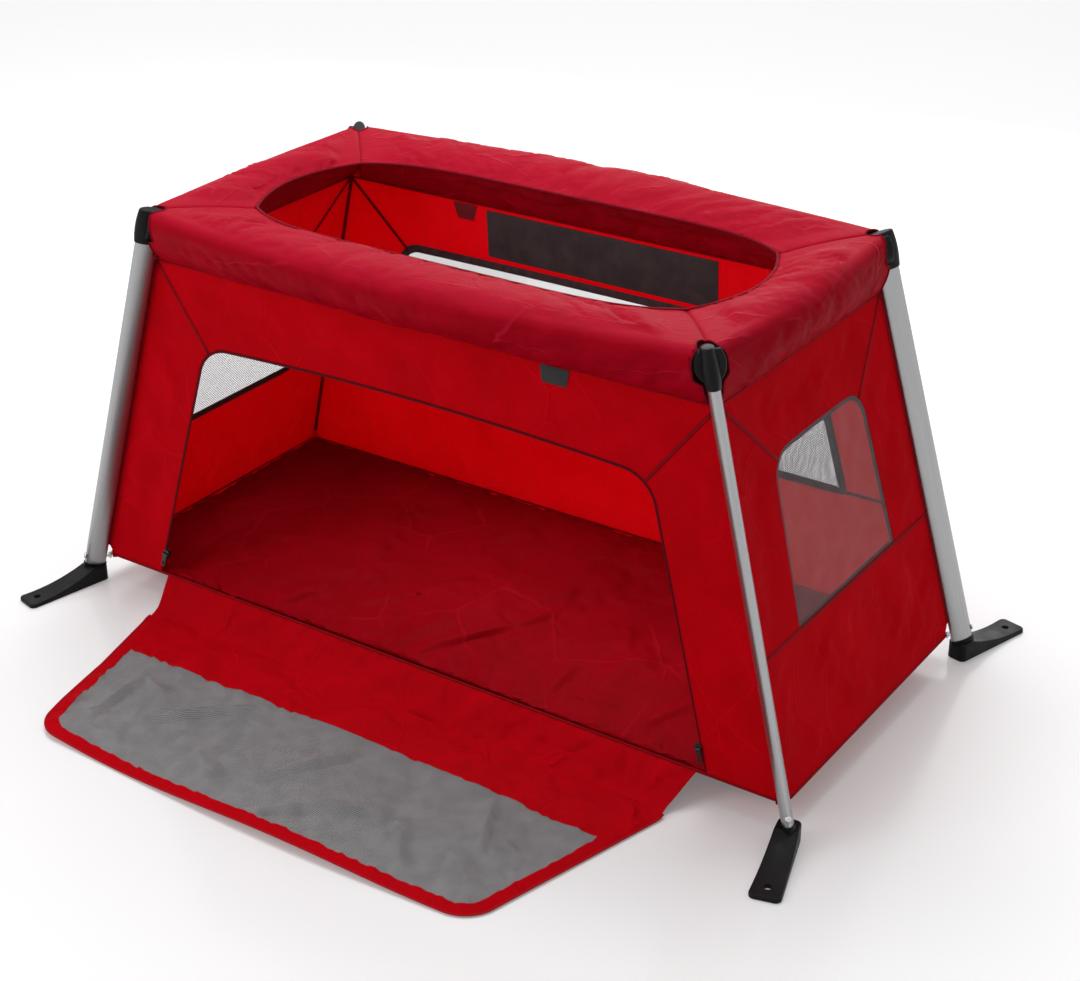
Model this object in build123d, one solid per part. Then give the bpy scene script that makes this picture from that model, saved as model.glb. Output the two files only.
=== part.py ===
from build123d import *
import math
import os

# A folding playpen: four splayed oval legs carry a bowed top frame in moulded corner hubs, and a cloth
# tub hangs in it, with net windows and one long side that unzips and folds down.
# Millimetres. The origin is on the floor, midway between the feet: X along the length, Y towards the
# back, Z up. Corner pieces are drawn at the rear right and mirrored to the other three corners.

# Legs: the middle of each tube end, the oval section, and the plan angle of its long axis
LEG_TOP = Vector(431.2, 222.9, 542.6)
LEG_FOOT = Vector(568.7, 252.4, 27.8)
LEG_WIDE = 31.0
LEG_THIN = 15.0
LEG_WALL = 1.4
LEG_TURN = 52.0
LEG_SEAT_GAP = 0.3
SPIGOT_SLACK = 0.1
SPIGOT_CHAMFER = 1.5
HUB_SPIGOT = 58.0
FOOT_SPIGOT = 34.0

# Corner hubs
HUB_HEIGHT = 49.0
HUB_SKIN = 1.3
HUB_SWELL = 1.8
HUB_EDGE = 3.0
SHIELD_HALF = 18.2
SHIELD_FOOT = 8.0
SHIELD_FLARE = (14.4, 14.0)
SHIELD_LOBE_Z = 24.0
SHIELD_BROW = (17.9, 37.0)
SHIELD_TOP = (14.6, 45.0)
SHIELD_PEAK = 46.5
SHIELD_EDGE = 2.5
SHIELD_ROOM = 1.2
SHIELD_BACK = -9.0
SHIELD_FRONT = 5.5
SOCKET_RADIUS = 9.3
SOCKET_REACH = 40.0
SOCKET_FLOOR = 15.0

# Top rails: tube section, height, and how far each bows out beyond the hubs
RAIL_RADIUS = 8.0
RAIL_WALL = 1.2
RAIL_Z = 576.0
RAIL_BOW_LONG = 35.0
RAIL_BOW_SHORT = 13.0
JOINER_HALF = 45.0
JOINER_SLACK = 0.1
JOINER_WALL = 2.0
RAIL_MEETING_GAP = 0.5

# Feet
FOOT_PLACE = Vector(570.0, 252.0, 0.0)
FOOT_TURN = 75.5
FOOT_HEEL = 14.0
FOOT_HEEL_HALF = 14.0
FOOT_HEEL_RADIUS = 8.0
FOOT_LENGTH = 118.0
FOOT_TOE_HALF = 20.0
FOOT_TOE_RADIUS = 8.0
FOOT_HEEL_HEIGHT = 24.4
FOOT_TOE_HEIGHT = 6.0
FOOT_WAIST = (49.5, 12.2)
FOOT_BROW = 11.0
FOOT_EDGE = 2.2
FOOT_COLLAR = 1.2
FOOT_COLLAR_DEPTH = 27.0
PEG_RADIUS = 5.0
PEG_FROM_TOE = 20.0

# Leg hooks: a rivet through the tube, with an upright prong on the inner side
HOOK_HEIGHT = 11.0
HOOK_SEAT_GAP = 0.1
HOOK_RIVET_RADIUS = 1.6
HOOK_HEAD_RADIUS = 4.2
HOOK_HEAD = 2.2
HOOK_REACH = 20.8
HOOK_PRONG_RADIUS = 2.0
HOOK_PRONG_LOW = -2.6
HOOK_PRONG = 9.6
RING_RADIUS = 3.5
RING_WIRE = 0.9
RING_HEIGHT = 3.8
RING_TAB = (4.0, 16.0, 8.0)
RING_TAB_SHIFT = (-1.5, 1.0)

# Cloth tub: half sizes at the hem and at the seam under the rim
CLOTH = 1.6
HEM_Z = 40.0
HEM_X = 556.0
HEM_Y = 236.0
HEM_CORNER = 14.0
SEAM_Z = 514.0
SEAM_X = 429.4
SEAM_Y = 208.8

# Rim covers: the rounded opening that they leave, and the padded section
MOUTH_X = 365.0
MOUTH_Y = 152.0
MOUTH_CORNER_X = 331.0
MOUTH_CORNER_Y = 112.0
MOUTH_POWER_LONG = 6
MOUTH_POWER_SHORT = 2
MOUTH_Z = 577.0
RIM_CREST_Z = 589.5
RIM_OUTER_Z = 570.0
RIM_PROUD = 12.5
RIM_SHOULDER = (-4.5, -6.0)
RIM_CREST_BACK = 3.0
RIM_BULGE = (7.0, -2.8)
RIM_SEAM_GAP = 0.4
RIM_CROWN = 3.0
RIM_SAG = (4.0, 4.0)
RIM_STATIONS = 4
RIM_BORE_GAP = 0.4
NOTCH_HALF = 21.5
NOTCH_LOW = 2.0
NOTCH_SPRING = 29.0
NOTCH_HIGH = 50.5

# Windows and the seam level under them
WINDOW_LOW_Z = 212.0
WINDOW_HIGH_Z = 422.0
REAR_WINDOW_LOW_HALF = 392.0
REAR_WINDOW_HIGH_HALF = 336.0
REAR_WINDOW_RADIUS = 36.0
END_WINDOW_LOW_HALF = 131.0
END_WINDOW_HIGH_HALF = 116.0
END_WINDOW_RADIUS = 40.0
NET = 0.8
WINDOW_ARCH = 2.0
WINDOW_SEAM_IN = (10.0, 11.0)
BINDING_HALF = 6.0
BINDING = 0.8

# Doorway in the front wall, and the door that folds down from its hem
DOOR_LOW_HALF = 451.0
DOOR_HIGH_HALF = 350.0
DOOR_HIGH_Z = 409.0
DOOR_ARCH = 11.0
DOOR_RADIUS = 55.0
ZIP_GAP = 9.0
ZIP_TRACK = 3.5
ZIP_THICK = 2.2
DROP_LENGTH = 62.0
DOOR_SOLE = 0.5
DROP_INSET = 6.0
DOOR_HINGE_GAP = 3.0
CREASE_GAP = 1.2
DOOR_NET_START = 150.0
DOOR_BORDER = 17.0
DOOR_SEAM_IN = (15.0, 18.0)

# Zip sliders and their pull tabs
SLIDER_PARK = 34.0
SLIDER_LENGTH = 13.0
SLIDER_HALF = 4.6
SLIDER_PLATE = 1.2
SLIDER_ROOM = 0.5
SLIDER_POST = (1.0, 3.9)
SLIDER_POST_UP = 3.9
PIN_STAND = 1.6
PULL_LENGTH = 20.0
PULL_HALF = 3.2
PULL_THICK = 1.2
PULL_PIN_RADIUS = 0.8
PULL_PIN_SLACK = 0.05
PULL_EYE = 0.5
PULL_SLOT = (3.2, 6.0)
PULL_SLOT_DOWN = 14.4
PULL_EAR = (1.2, 3.6, 2.8)
PULL_EAR_GAP = 0.3

# Floor sheet and mattress
TRAY_SOLE = 6.0
TRAY_IN = 45.0
TRAY_HEM_GAP = 1.0
TRAY_CORNER = 30.0
PAD_X = 542.0
PAD_Y = 222.0
PAD_LOW = 9.0
PAD_SIDE_LOW = 34.0
PAD_TAPER = 34.0
PAD_HIGH = 43.0
PAD_CROWN = 6.0
PAD_END_CROWN = 1.0
PAD_DRAW = 5.0
PAD_CORNER = 22.0
PAD_COVER = 1.5
PAD_SLACK = 0.4

# Plain sewn-on pieces: span along the wall from the left as seen from outside, and height
TAG = ((190.0, 232.0), (489.0, 511.0))
TAB = ((199.0, 240.0), (487.0, 511.0))
PATCH = ((-196.0, 182.0), (437.0, 508.0))
PATCH_THICK = 0.8

CORNERS = {"front_left": (-1, -1), "front_right": (1, -1), "rear_left": (-1, 1), "rear_right": (1, 1)}
FAR = 400.0


def at_corner(shape, side_x, side_y):
    """The rear right corner's piece, mirrored to the corner on the given sides."""
    if side_x < 0:
        shape = mirror(shape, about=Plane.YZ)
    if side_y < 0:
        shape = mirror(shape, about=Plane.XZ)
    return shape


# The leg's own frame: Z up along the tube from its top end, X along the oval's long axis, outward
leg_up = (LEG_TOP - LEG_FOOT).normalized()
leg_length = (LEG_TOP - LEG_FOOT).length
plan_axis = Vector(math.cos(math.radians(LEG_TURN)), math.sin(math.radians(LEG_TURN)), 0)
leg_wide_axis = (plan_axis - leg_up * plan_axis.dot(leg_up)).normalized()
leg_frame = Plane(origin=LEG_TOP, x_dir=leg_wide_axis, z_dir=leg_up)
leg_end = leg_frame.offset(-leg_length)
hook_frame = leg_frame.offset(HOOK_HEIGHT - leg_length)


def oval(extra):
    """The leg's oval section, grown by extra all round."""
    return Ellipse(LEG_WIDE / 2 + extra, LEG_THIN / 2 + extra)


def along_wide_axis(frame, radius, start, end):
    """A round bar along a leg frame's long axis, from start to end."""
    bar = Cylinder(radius, end - start, align=(Align.CENTER, Align.CENTER, Align.MIN))
    return frame * (Pos(start, 0, 0) * (Rot(0, 90, 0) * bar))


def leg_tube():
    section = oval(0) - oval(-LEG_WALL)
    tube = extrude(leg_frame.offset(-LEG_SEAT_GAP) * section, amount=LEG_SEAT_GAP - leg_length)
    return tube - along_wide_axis(hook_frame, HOOK_RIVET_RADIUS, -LEG_WIDE, LEG_WIDE)


def leg_hook():
    """A rivet through the tube with a domed outer head, and a small arm with an upright prong inside."""
    seat = LEG_WIDE / 2 + HOOK_SEAT_GAP
    shank = along_wide_axis(hook_frame, HOOK_RIVET_RADIUS, -HOOK_REACH, seat + HOOK_HEAD / 2)
    head = along_wide_axis(hook_frame, HOOK_HEAD_RADIUS, seat, seat + HOOK_HEAD)
    head = fillet(head.faces().sort_by(Axis(LEG_TOP, leg_wide_axis))[-1].edges(), radius=HOOK_HEAD * 0.8)
    prong = hook_frame * Pos(-HOOK_REACH, 0, HOOK_PRONG_LOW) * Cylinder(
        HOOK_PRONG_RADIUS, HOOK_PRONG, align=(Align.CENTER, Align.CENTER, Align.MIN)
    )
    return shank + head + prong


def corner_ring():
    """A wire ring round the hook's prong, on a tab sewn across the hem's cut-off corner."""
    centre = hook_frame * Pos(-HOOK_REACH, 0, RING_HEIGHT)
    ring = centre * Torus(RING_RADIUS, RING_WIRE)
    tab_centre = centre * Pos(-RING_RADIUS - RING_TAB[0] / 2, *RING_TAB_SHIFT)
    return ring + tab_centre * Box(*RING_TAB)


def foot():
    """A flat blade that rises to a collar round the leg's end, with a spigot up into the tube."""
    along = Vector(math.cos(math.radians(FOOT_TURN)), math.sin(math.radians(FOOT_TURN)), 0)
    sole = Plane(origin=FOOT_PLACE, x_dir=along, z_dir=(0, 0, 1))
    profile = Plane(origin=FOOT_PLACE, x_dir=along, z_dir=along.cross(Vector(0, 0, 1)))
    right = [(-FOOT_HEEL, -FOOT_HEEL_HALF), (FOOT_LENGTH, -FOOT_TOE_HALF)]
    left = [(FOOT_LENGTH, FOOT_TOE_HALF), (-FOOT_HEEL, FOOT_HEEL_HALF)]
    outline = Polygon(*right, *left, align=None)
    outline = fillet(outline.vertices().sort_by(Axis.X)[:2], radius=FOOT_HEEL_RADIUS)
    outline = fillet(outline.vertices().sort_by(Axis.X)[-2:], radius=FOOT_TOE_RADIUS)
    blade = extrude(sole * outline, amount=FOOT_HEEL_HEIGHT)
    toe_end = FOOT_LENGTH + FOOT_TOE_RADIUS
    clear = 2 * FOOT_HEEL_HEIGHT
    brow = (FOOT_BROW, FOOT_HEEL_HEIGHT)
    top = ThreePointArc((toe_end, FOOT_TOE_HEIGHT), FOOT_WAIST, brow)
    above = Polyline(brow, (FOOT_BROW, clear), (toe_end, clear), (toe_end, FOOT_TOE_HEIGHT))
    blade -= extrude(profile * make_face([top, *above.edges()]), amount=FAR, both=True)
    blade = fillet(blade.edges().filter_by(lambda edge: edge.bounding_box().min.Z > 1), radius=FOOT_EDGE)
    collar = extrude(leg_end * oval(FOOT_COLLAR), amount=-FOOT_COLLAR_DEPTH)
    collar -= Pos(0, 0, -FAR / 2) * Box(4 * FAR, 4 * FAR, FAR)
    spigot = extrude(leg_end * oval(-LEG_WALL - SPIGOT_SLACK), amount=FOOT_SPIGOT)
    spigot -= along_wide_axis(hook_frame, HOOK_RIVET_RADIUS, -LEG_WIDE, LEG_WIDE)
    peg = sole * Pos(FOOT_LENGTH - PEG_FROM_TOE, 0, 0) * Cylinder(PEG_RADIUS, FAR)
    return blade + collar + spigot - peg


# Rail arcs: each long or short side is one circular arc from hub to hub
hub_axis_at_rail = LEG_TOP + leg_up * ((RAIL_Z - LEG_TOP.Z) / leg_up.Z)
HUB_X = hub_axis_at_rail.X
HUB_Y = hub_axis_at_rail.Y


def arc_radius(half, bow):
    return (half * half + bow * bow) / (2 * bow)


def bowed(position, half, bow):
    """How far a bowed side stands out beyond its ends at a position along it."""
    radius = arc_radius(half, bow)
    return bow - radius + math.sqrt(radius * radius - position * position)


def rail_arc(long_side, start, end):
    """A stretch of the rear or right rail's axis, between two positions along it."""
    half, bow, base = (HUB_X, RAIL_BOW_LONG, HUB_Y) if long_side else (HUB_Y, RAIL_BOW_SHORT, HUB_X)
    points = []
    for position in (start, (start + end) / 2, end):
        out = base + bowed(position, half, bow)
        points.append((position, out, RAIL_Z) if long_side else (out, position, RAIL_Z))
    return ThreePointArc(*points)


def swept(path, section):
    return sweep(Plane(origin=path @ 0, z_dir=path % 0) * section, path=path)


def rail(long_side, start, end):
    return swept(rail_arc(long_side, start, end), Circle(RAIL_RADIUS) - Circle(RAIL_RADIUS - RAIL_WALL))


def joiner():
    outer = RAIL_RADIUS - RAIL_WALL - JOINER_SLACK
    return swept(rail_arc(True, -JOINER_HALF, JOINER_HALF), Circle(outer) - Circle(outer - JOINER_WALL))


def rail_start(long_side):
    """Where the rail's end sits on its arc, seated at the floor of the hub's socket."""
    return (HUB_X if long_side else HUB_Y) - SOCKET_FLOOR


def socket_axis(long_side):
    """Frame at the hub with Z out along the rail that leaves it."""
    end = HUB_X if long_side else HUB_Y
    arc = rail_arc(long_side, end, end - SOCKET_REACH)
    return Plane(origin=arc @ 0, z_dir=arc @ 1 - arc @ 0)


hub_face_on = Plane(origin=LEG_TOP, x_dir=leg_frame.y_dir, z_dir=leg_frame.x_dir)


def shield_outline():
    """The shield seen along the diagonal: narrow on the leg, swelling to a lobe over each socket."""
    waist = LEG_THIN / 2 + HUB_SKIN
    lobe = (SHIELD_HALF, SHIELD_LOBE_Z)
    right = [
        ThreePointArc((waist, SHIELD_FOOT), SHIELD_FLARE, lobe),
        ThreePointArc(lobe, SHIELD_BROW, SHIELD_TOP),
        Line(SHIELD_TOP, (0, SHIELD_PEAK)),
    ]
    left = [mirror(edge, about=Plane.YZ) for edge in right]
    return make_face([*right, *left, Line((-waist, SHIELD_FOOT), (waist, SHIELD_FOOT))])


def hub():
    """The moulded corner: a spine on the leg, a shield across it, a spigot below and two rail sockets."""
    stations = ((0, HUB_SKIN), (HUB_HEIGHT * 0.6, HUB_SKIN + HUB_SWELL), (HUB_HEIGHT, HUB_SKIN - 0.5))
    spine = loft([leg_frame.offset(height) * oval(extra) for height, extra in stations])
    spine = fillet(spine.faces().sort_by(Axis.Z)[-1].edges(), radius=HUB_EDGE)
    face_on = hub_face_on.offset(SHIELD_BACK)
    shield = extrude(face_on * shield_outline(), amount=SHIELD_FRONT - SHIELD_BACK)
    shield = fillet(shield.faces().sort_by(Axis(LEG_TOP, leg_frame.x_dir))[-1].edges(), radius=SHIELD_EDGE)
    spigot = extrude(leg_frame * oval(-LEG_WALL - SPIGOT_SLACK), amount=-HUB_SPIGOT)
    spigot = chamfer(spigot.faces().sort_by(Axis.Z)[0].edges(), length=SPIGOT_CHAMFER)
    body = spine + shield + spigot
    for long_side in (True, False):
        body += extrude(socket_axis(long_side) * Circle(SOCKET_RADIUS), amount=SOCKET_REACH)
    for long_side in (True, False):
        end = HUB_X if long_side else HUB_Y
        path = rail_arc(long_side, end - SOCKET_FLOOR, end - 1.3 * SOCKET_REACH)
        body -= swept(path, Circle(RAIL_RADIUS))
    return body


# Rim covers
def mouth_edge(position, long_side):
    """Half width of the opening across a side, at a position along it: straight, then drawn in."""
    if long_side:
        return MOUTH_Y - (MOUTH_Y - MOUTH_CORNER_Y) * abs(position / MOUTH_CORNER_X) ** MOUTH_POWER_LONG
    return MOUTH_X - (MOUTH_X - MOUTH_CORNER_X) * abs(position / MOUTH_CORNER_Y) ** MOUTH_POWER_SHORT


def rim_section(rail_out, reach, seam):
    """Padded section from the mouth's edge at 0: crowned top, round shoulder, outer and inner faces."""
    inner_edge = Vector(0, MOUTH_Z)
    crest = Vector(rail_out - RIM_CREST_BACK, RIM_CREST_Z)
    outer = Vector(reach, RIM_OUTER_Z)
    foot_seam = Vector(seam, SEAM_Z + RIM_SEAM_GAP)
    top_mid = (inner_edge + crest) * 0.5 + Vector(0, RIM_CROWN)
    shoulder = Vector(reach, RIM_CREST_Z) + Vector(*RIM_SHOULDER)
    belly = (outer + foot_seam) * 0.5 + Vector(*RIM_BULGE)
    inside = (foot_seam + inner_edge) * 0.5 + Vector(*RIM_SAG)
    return make_face(
        [
            ThreePointArc(inner_edge, top_mid, crest),
            ThreePointArc(crest, shoulder, outer),
            ThreePointArc(outer, belly, foot_seam),
            ThreePointArc(foot_seam, inside, inner_edge),
        ]
    )


def hub_room():
    """The room that the hub, the leg and the open notch in front of them take out of the rim."""
    room = extrude(leg_frame * oval(HUB_SKIN + HUB_SWELL + SHIELD_ROOM), amount=FAR / 4, both=True)
    socket_room = Circle(SOCKET_RADIUS + RIM_BORE_GAP)
    for long_side in (True, False):
        room += extrude(socket_axis(long_side) * socket_room, amount=SOCKET_REACH + 2)
    face_on = hub_face_on.offset(SHIELD_BACK - SHIELD_ROOM)
    arch = [
        Line((-NOTCH_HALF, NOTCH_SPRING), (-NOTCH_HALF, NOTCH_LOW)),
        Line((-NOTCH_HALF, NOTCH_LOW), (NOTCH_HALF, NOTCH_LOW)),
        Line((NOTCH_HALF, NOTCH_LOW), (NOTCH_HALF, NOTCH_SPRING)),
        ThreePointArc((NOTCH_HALF, NOTCH_SPRING), (0, NOTCH_HIGH), (-NOTCH_HALF, NOTCH_SPRING)),
    ]
    room += extrude(face_on * offset(shield_outline(), SHIELD_ROOM), amount=FAR / 4)
    return room + extrude(face_on * make_face(arch), amount=FAR / 4)


def rim_cover(long_side, room):
    """The rear or right rim cover: sections that fan out to the mitres, bored for the rail."""
    half, bow, base = (HUB_X, RAIL_BOW_LONG, HUB_Y) if long_side else (HUB_Y, RAIL_BOW_SHORT, HUB_X)
    corner = MOUTH_CORNER_X if long_side else MOUTH_CORNER_Y
    seam_line = SEAM_Y if long_side else SEAM_X
    mitre = (HUB_X - MOUTH_CORNER_X) / (HUB_Y - MOUTH_CORNER_Y)
    proud = RIM_PROUD if long_side else RIM_PROUD * mitre
    sections = []
    for step in range(-RIM_STATIONS, RIM_STATIONS + 1):
        share = step / RIM_STATIONS
        inner = Vector(share * corner, mouth_edge(share * corner, long_side))
        width = Vector(share * half, base + bowed(share * half, half, bow)) - inner
        across = width.normalized()
        reach = width.length + proud / across.Y
        section = rim_section(width.length, reach, (seam_line - inner.Y) / across.Y)
        if not long_side:
            inner = Vector(inner.Y, inner.X)
            across = Vector(across.Y, across.X)
        frame = Plane(origin=inner, x_dir=across, z_dir=across.cross(Vector(0, 0, 1)))
        sections.append(frame * section)
    cover = loft(sections)
    flip = Plane.YZ if long_side else Plane.XZ
    reach = rail_start(long_side) + 5
    bore = swept(rail_arc(long_side, -reach, reach), Circle(RAIL_RADIUS + RIM_BORE_GAP))
    for cut in (room, mirror(room, about=flip), bore):
        cover -= cut
    return cover


# Walls: each is drawn flat on its own leaning plane, u along the wall and v up it from the hem
def wall_plane(name):
    lean_y = HEM_Y - SEAM_Y
    lean_x = HEM_X - SEAM_X
    rise = SEAM_Z - HEM_Z
    origin, along, up = {
        "front": ((0, -HEM_Y, HEM_Z), Vector(1, 0, 0), Vector(0, lean_y, rise)),
        "rear": ((0, HEM_Y, HEM_Z), Vector(-1, 0, 0), Vector(0, -lean_y, rise)),
        "right": ((HEM_X, 0, HEM_Z), Vector(0, 1, 0), Vector(-lean_x, 0, rise)),
        "left": ((-HEM_X, 0, HEM_Z), Vector(0, -1, 0), Vector(lean_x, 0, rise)),
    }[name]
    return Plane(origin=origin, x_dir=along, z_dir=along.cross(up))


def up_wall(name, z):
    """Distance up a wall from the hem to a height."""
    lean = HEM_Y - SEAM_Y if name in ("front", "rear") else HEM_X - SEAM_X
    rise = SEAM_Z - HEM_Z
    return (z - HEM_Z) * math.hypot(lean, rise) / rise


def wall_outline(name):
    """The wall's whole trapezium, the end walls a cloth's thickness inside the long ones."""
    low, high = (HEM_X, SEAM_X) if name in ("front", "rear") else (HEM_Y - CLOTH, SEAM_Y - CLOTH)
    top = up_wall(name, SEAM_Z)
    notch = low - (low - high) * HEM_CORNER / top
    right = [(low - HEM_CORNER, 0), (notch, HEM_CORNER), (high, top)]
    left = [(-u, v) for u, v in reversed(right)]
    return Polygon(*right, *left, align=None)


def arched(low_half, low, high_half, high, arch, radius):
    """A four-sided opening with rounded upper corners and a slightly arched top."""
    face = make_face(
        [
            Line((-high_half, high), (-low_half, low)),
            Line((-low_half, low), (low_half, low)),
            Line((low_half, low), (high_half, high)),
            ThreePointArc((high_half, high), (0, high + arch), (-high_half, high)),
        ]
    )
    return fillet(face.vertices().sort_by(Axis.Y)[-2:], radius=radius)


def window_outline(name, grow):
    low = up_wall(name, WINDOW_LOW_Z) - grow
    high = up_wall(name, WINDOW_HIGH_Z) + grow
    if name == "rear":
        halves = (REAR_WINDOW_LOW_HALF + grow, REAR_WINDOW_HIGH_HALF + grow, REAR_WINDOW_RADIUS + grow)
    else:
        halves = (END_WINDOW_LOW_HALF + grow, END_WINDOW_HIGH_HALF + grow, END_WINDOW_RADIUS + grow)
    low_half, high_half, radius = halves
    return arched(low_half, low, high_half, high, WINDOW_ARCH, radius)


def doorway_outline(shrink):
    side_lean = (DOOR_LOW_HALF - DOOR_HIGH_HALF) / (DOOR_HIGH_Z - HEM_Z)
    low = -shrink
    low_half = DOOR_LOW_HALF - shrink + side_lean * shrink
    high = up_wall("front", DOOR_HIGH_Z) - shrink
    high_half = DOOR_HIGH_HALF - shrink + side_lean * shrink
    return arched(low_half, low, high_half, high, DOOR_ARCH, DOOR_RADIUS - shrink)


def above_level(level):
    """A zone on a wall's plane that takes in everything above a distance up from the hem."""
    return Pos(0, level + FAR) * Rectangle(4 * FAR, 2 * FAR)


def framed_panels(name, opening, low, seam_point):
    """The cloth round an opening above a level, parted along the sewn diagonals to the top corners."""
    outline = wall_outline(name)
    top = up_wall(name, SEAM_Z)
    corner = SEAM_X if name in ("front", "rear") else SEAM_Y - CLOTH
    seam_u, seam_v = seam_point
    header_zone = Polygon(
        (-corner, top), (-seam_u, seam_v), (seam_u, seam_v), (corner, top), align=None
    )
    ring = outline & above_level(low)
    ring -= opening
    header = ring & header_zone
    sides = ring - header_zone
    return {"header": header, "uprights": sides}


def sheet(name, face, thick, out=0.0):
    """A flat face on a wall, given thickness about its plane, or stood out from it by a distance."""
    return extrude(wall_plane(name).offset(out) * face, amount=thick / 2, both=True)


def sewn_patch(name, spans, thick, out):
    (left, right), (low, high) = spans
    face = Polygon(
        (left, up_wall(name, low)), (right, up_wall(name, low)),
        (right, up_wall(name, high)), (left, up_wall(name, high)), align=None,
    )
    return sheet(name, face, thick, out)


# Door: flat on the closed wall plane, parted at the crease, then folded down to the floor
def fold_angles():
    """The turn of the drop strip from closed to open, and the turn back at the crease."""
    closed = math.degrees(math.atan2(HEM_Y - SEAM_Y, SEAM_Z - HEM_Z))
    drop = HEM_Z - DOOR_SOLE - CLOTH / 2
    dip = math.degrees(math.asin(drop / DROP_LENGTH))
    return 90 + closed + dip, dip


def folded_down(shape, past_crease):
    """A piece of the closed door, moved to where it lies when the door is down."""
    strip_turn, dip = fold_angles()
    hinge = Axis((0, -HEM_Y, HEM_Z), (1, 0, 0))
    if past_crease:
        crease = wall_plane("front").from_local_coords((0, DROP_LENGTH, 0))
        shape = shape.rotate(Axis(crease, (1, 0, 0)), -dip)
    return shape.rotate(hinge, strip_turn)


def door_faces():
    """The door's cloth pieces as flat faces on the front wall's plane."""
    cloth = doorway_outline(ZIP_GAP)
    strip = doorway_outline(ZIP_GAP + DROP_INSET) & above_level(DOOR_HINGE_GAP)
    past_crease = above_level(DROP_LENGTH + CREASE_GAP)
    net = doorway_outline(ZIP_GAP + DOOR_BORDER) & above_level(DOOR_NET_START)
    zip_band = doorway_outline(ZIP_GAP - ZIP_TRACK) - cloth
    return {
        "door_drop_strip": (strip - above_level(DROP_LENGTH - CREASE_GAP), CLOTH, False),
        "door_panel": ((cloth & past_crease) - net, CLOTH, True),
        "door_net": (net, NET, True),
        "door_zip_track": (zip_band & past_crease, ZIP_THICK, True),
    }


def zip_line():
    """The right side of the doorway's zip: frame with Y up along it, X towards the wall, Z outward."""
    half_low = DOOR_LOW_HALF - ZIP_GAP / 2
    half_high = DOOR_HIGH_HALF - ZIP_GAP / 2
    plane = wall_plane("front")
    low = plane.from_local_coords((half_low, 0, 0))
    high = plane.from_local_coords((half_high, up_wall("front", DOOR_HIGH_Z), 0))
    up = (high - low).normalized()
    return Plane(origin=low + up * SLIDER_PARK, x_dir=up.cross(plane.z_dir), z_dir=plane.z_dir)


def zip_slider():
    """Two plates joined by a post that runs between the zip's halves, with ears for the pull's pin."""
    inner = ZIP_THICK / 2 + SLIDER_ROOM
    plate = extrude(RectangleRounded(2 * SLIDER_HALF, SLIDER_LENGTH, 2), amount=SLIDER_PLATE)
    post = Pos(0, SLIDER_POST_UP, 0) * Box(*SLIDER_POST, 2 * inner)
    body = Pos(0, 0, inner) * plate + Pos(0, 0, -inner - SLIDER_PLATE) * plate + post
    outer = inner + SLIDER_PLATE
    for side in (-1, 1):
        ear = Pos(side * (PULL_HALF + PULL_EAR_GAP + PULL_EAR[0] / 2), 0, outer + PULL_EAR[2] / 2 - 0.1)
        body += ear * Box(*PULL_EAR)
    pin = Rot(0, 90, 0) * Cylinder(PULL_PIN_RADIUS, 2 * (PULL_HALF + PULL_EAR[0]))
    return zip_line() * (body + Pos(0, 0, outer + PIN_STAND) * pin)


def zip_pull():
    """A flat tab with an eye on the slider's pin, hanging down the zip."""
    pin_height = ZIP_THICK / 2 + SLIDER_ROOM + SLIDER_PLATE + PIN_STAND
    eye = Rot(0, 90, 0) * Cylinder(PULL_PIN_RADIUS + PULL_EYE, 2 * PULL_HALF)
    tab_face = Pos(0, -PULL_LENGTH / 2) * RectangleRounded(2 * PULL_HALF, PULL_LENGTH, PULL_HALF * 0.8)
    slot = Pos(0, -PULL_SLOT_DOWN) * RectangleRounded(*PULL_SLOT, PULL_SLOT[0] * 0.4)
    tab = extrude(tab_face - slot, amount=PULL_THICK / 2, both=True)
    bore = Rot(0, 90, 0) * Cylinder(PULL_PIN_RADIUS + PULL_PIN_SLACK, 4 * PULL_HALF)
    return zip_line() * (Pos(0, 0, pin_height) * (eye + tab - bore))


# Floor sheet and mattress
def tray_form(inset):
    base = Plane.XY.offset(TRAY_SOLE + inset)
    rim = Plane.XY.offset(HEM_Z)
    corner = TRAY_CORNER - inset
    low = RectangleRounded(2 * (HEM_X - TRAY_IN - inset), 2 * (HEM_Y - TRAY_IN - inset), corner)
    shrink = TRAY_HEM_GAP + inset
    high = RectangleRounded(2 * (HEM_X - shrink), 2 * (HEM_Y - shrink), corner)
    return loft([base * low, rim * high])


def floor_sheet():
    return tray_form(0) - tray_form(CLOTH)


def drawn_in(half_x, half_y):
    """A long pad's outline: rounded corners, and sides that pull in between them."""
    sides = [
        ThreePointArc((-half_x, -half_y), (0, -half_y + PAD_DRAW), (half_x, -half_y)),
        ThreePointArc((half_x, -half_y), (half_x - PAD_DRAW, 0), (half_x, half_y)),
        ThreePointArc((half_x, half_y), (0, half_y - PAD_DRAW), (-half_x, half_y)),
        ThreePointArc((-half_x, half_y), (-half_x + PAD_DRAW, 0), (-half_x, -half_y)),
    ]
    face = make_face(sides)
    return fillet(face.vertices(), radius=PAD_CORNER)


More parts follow.
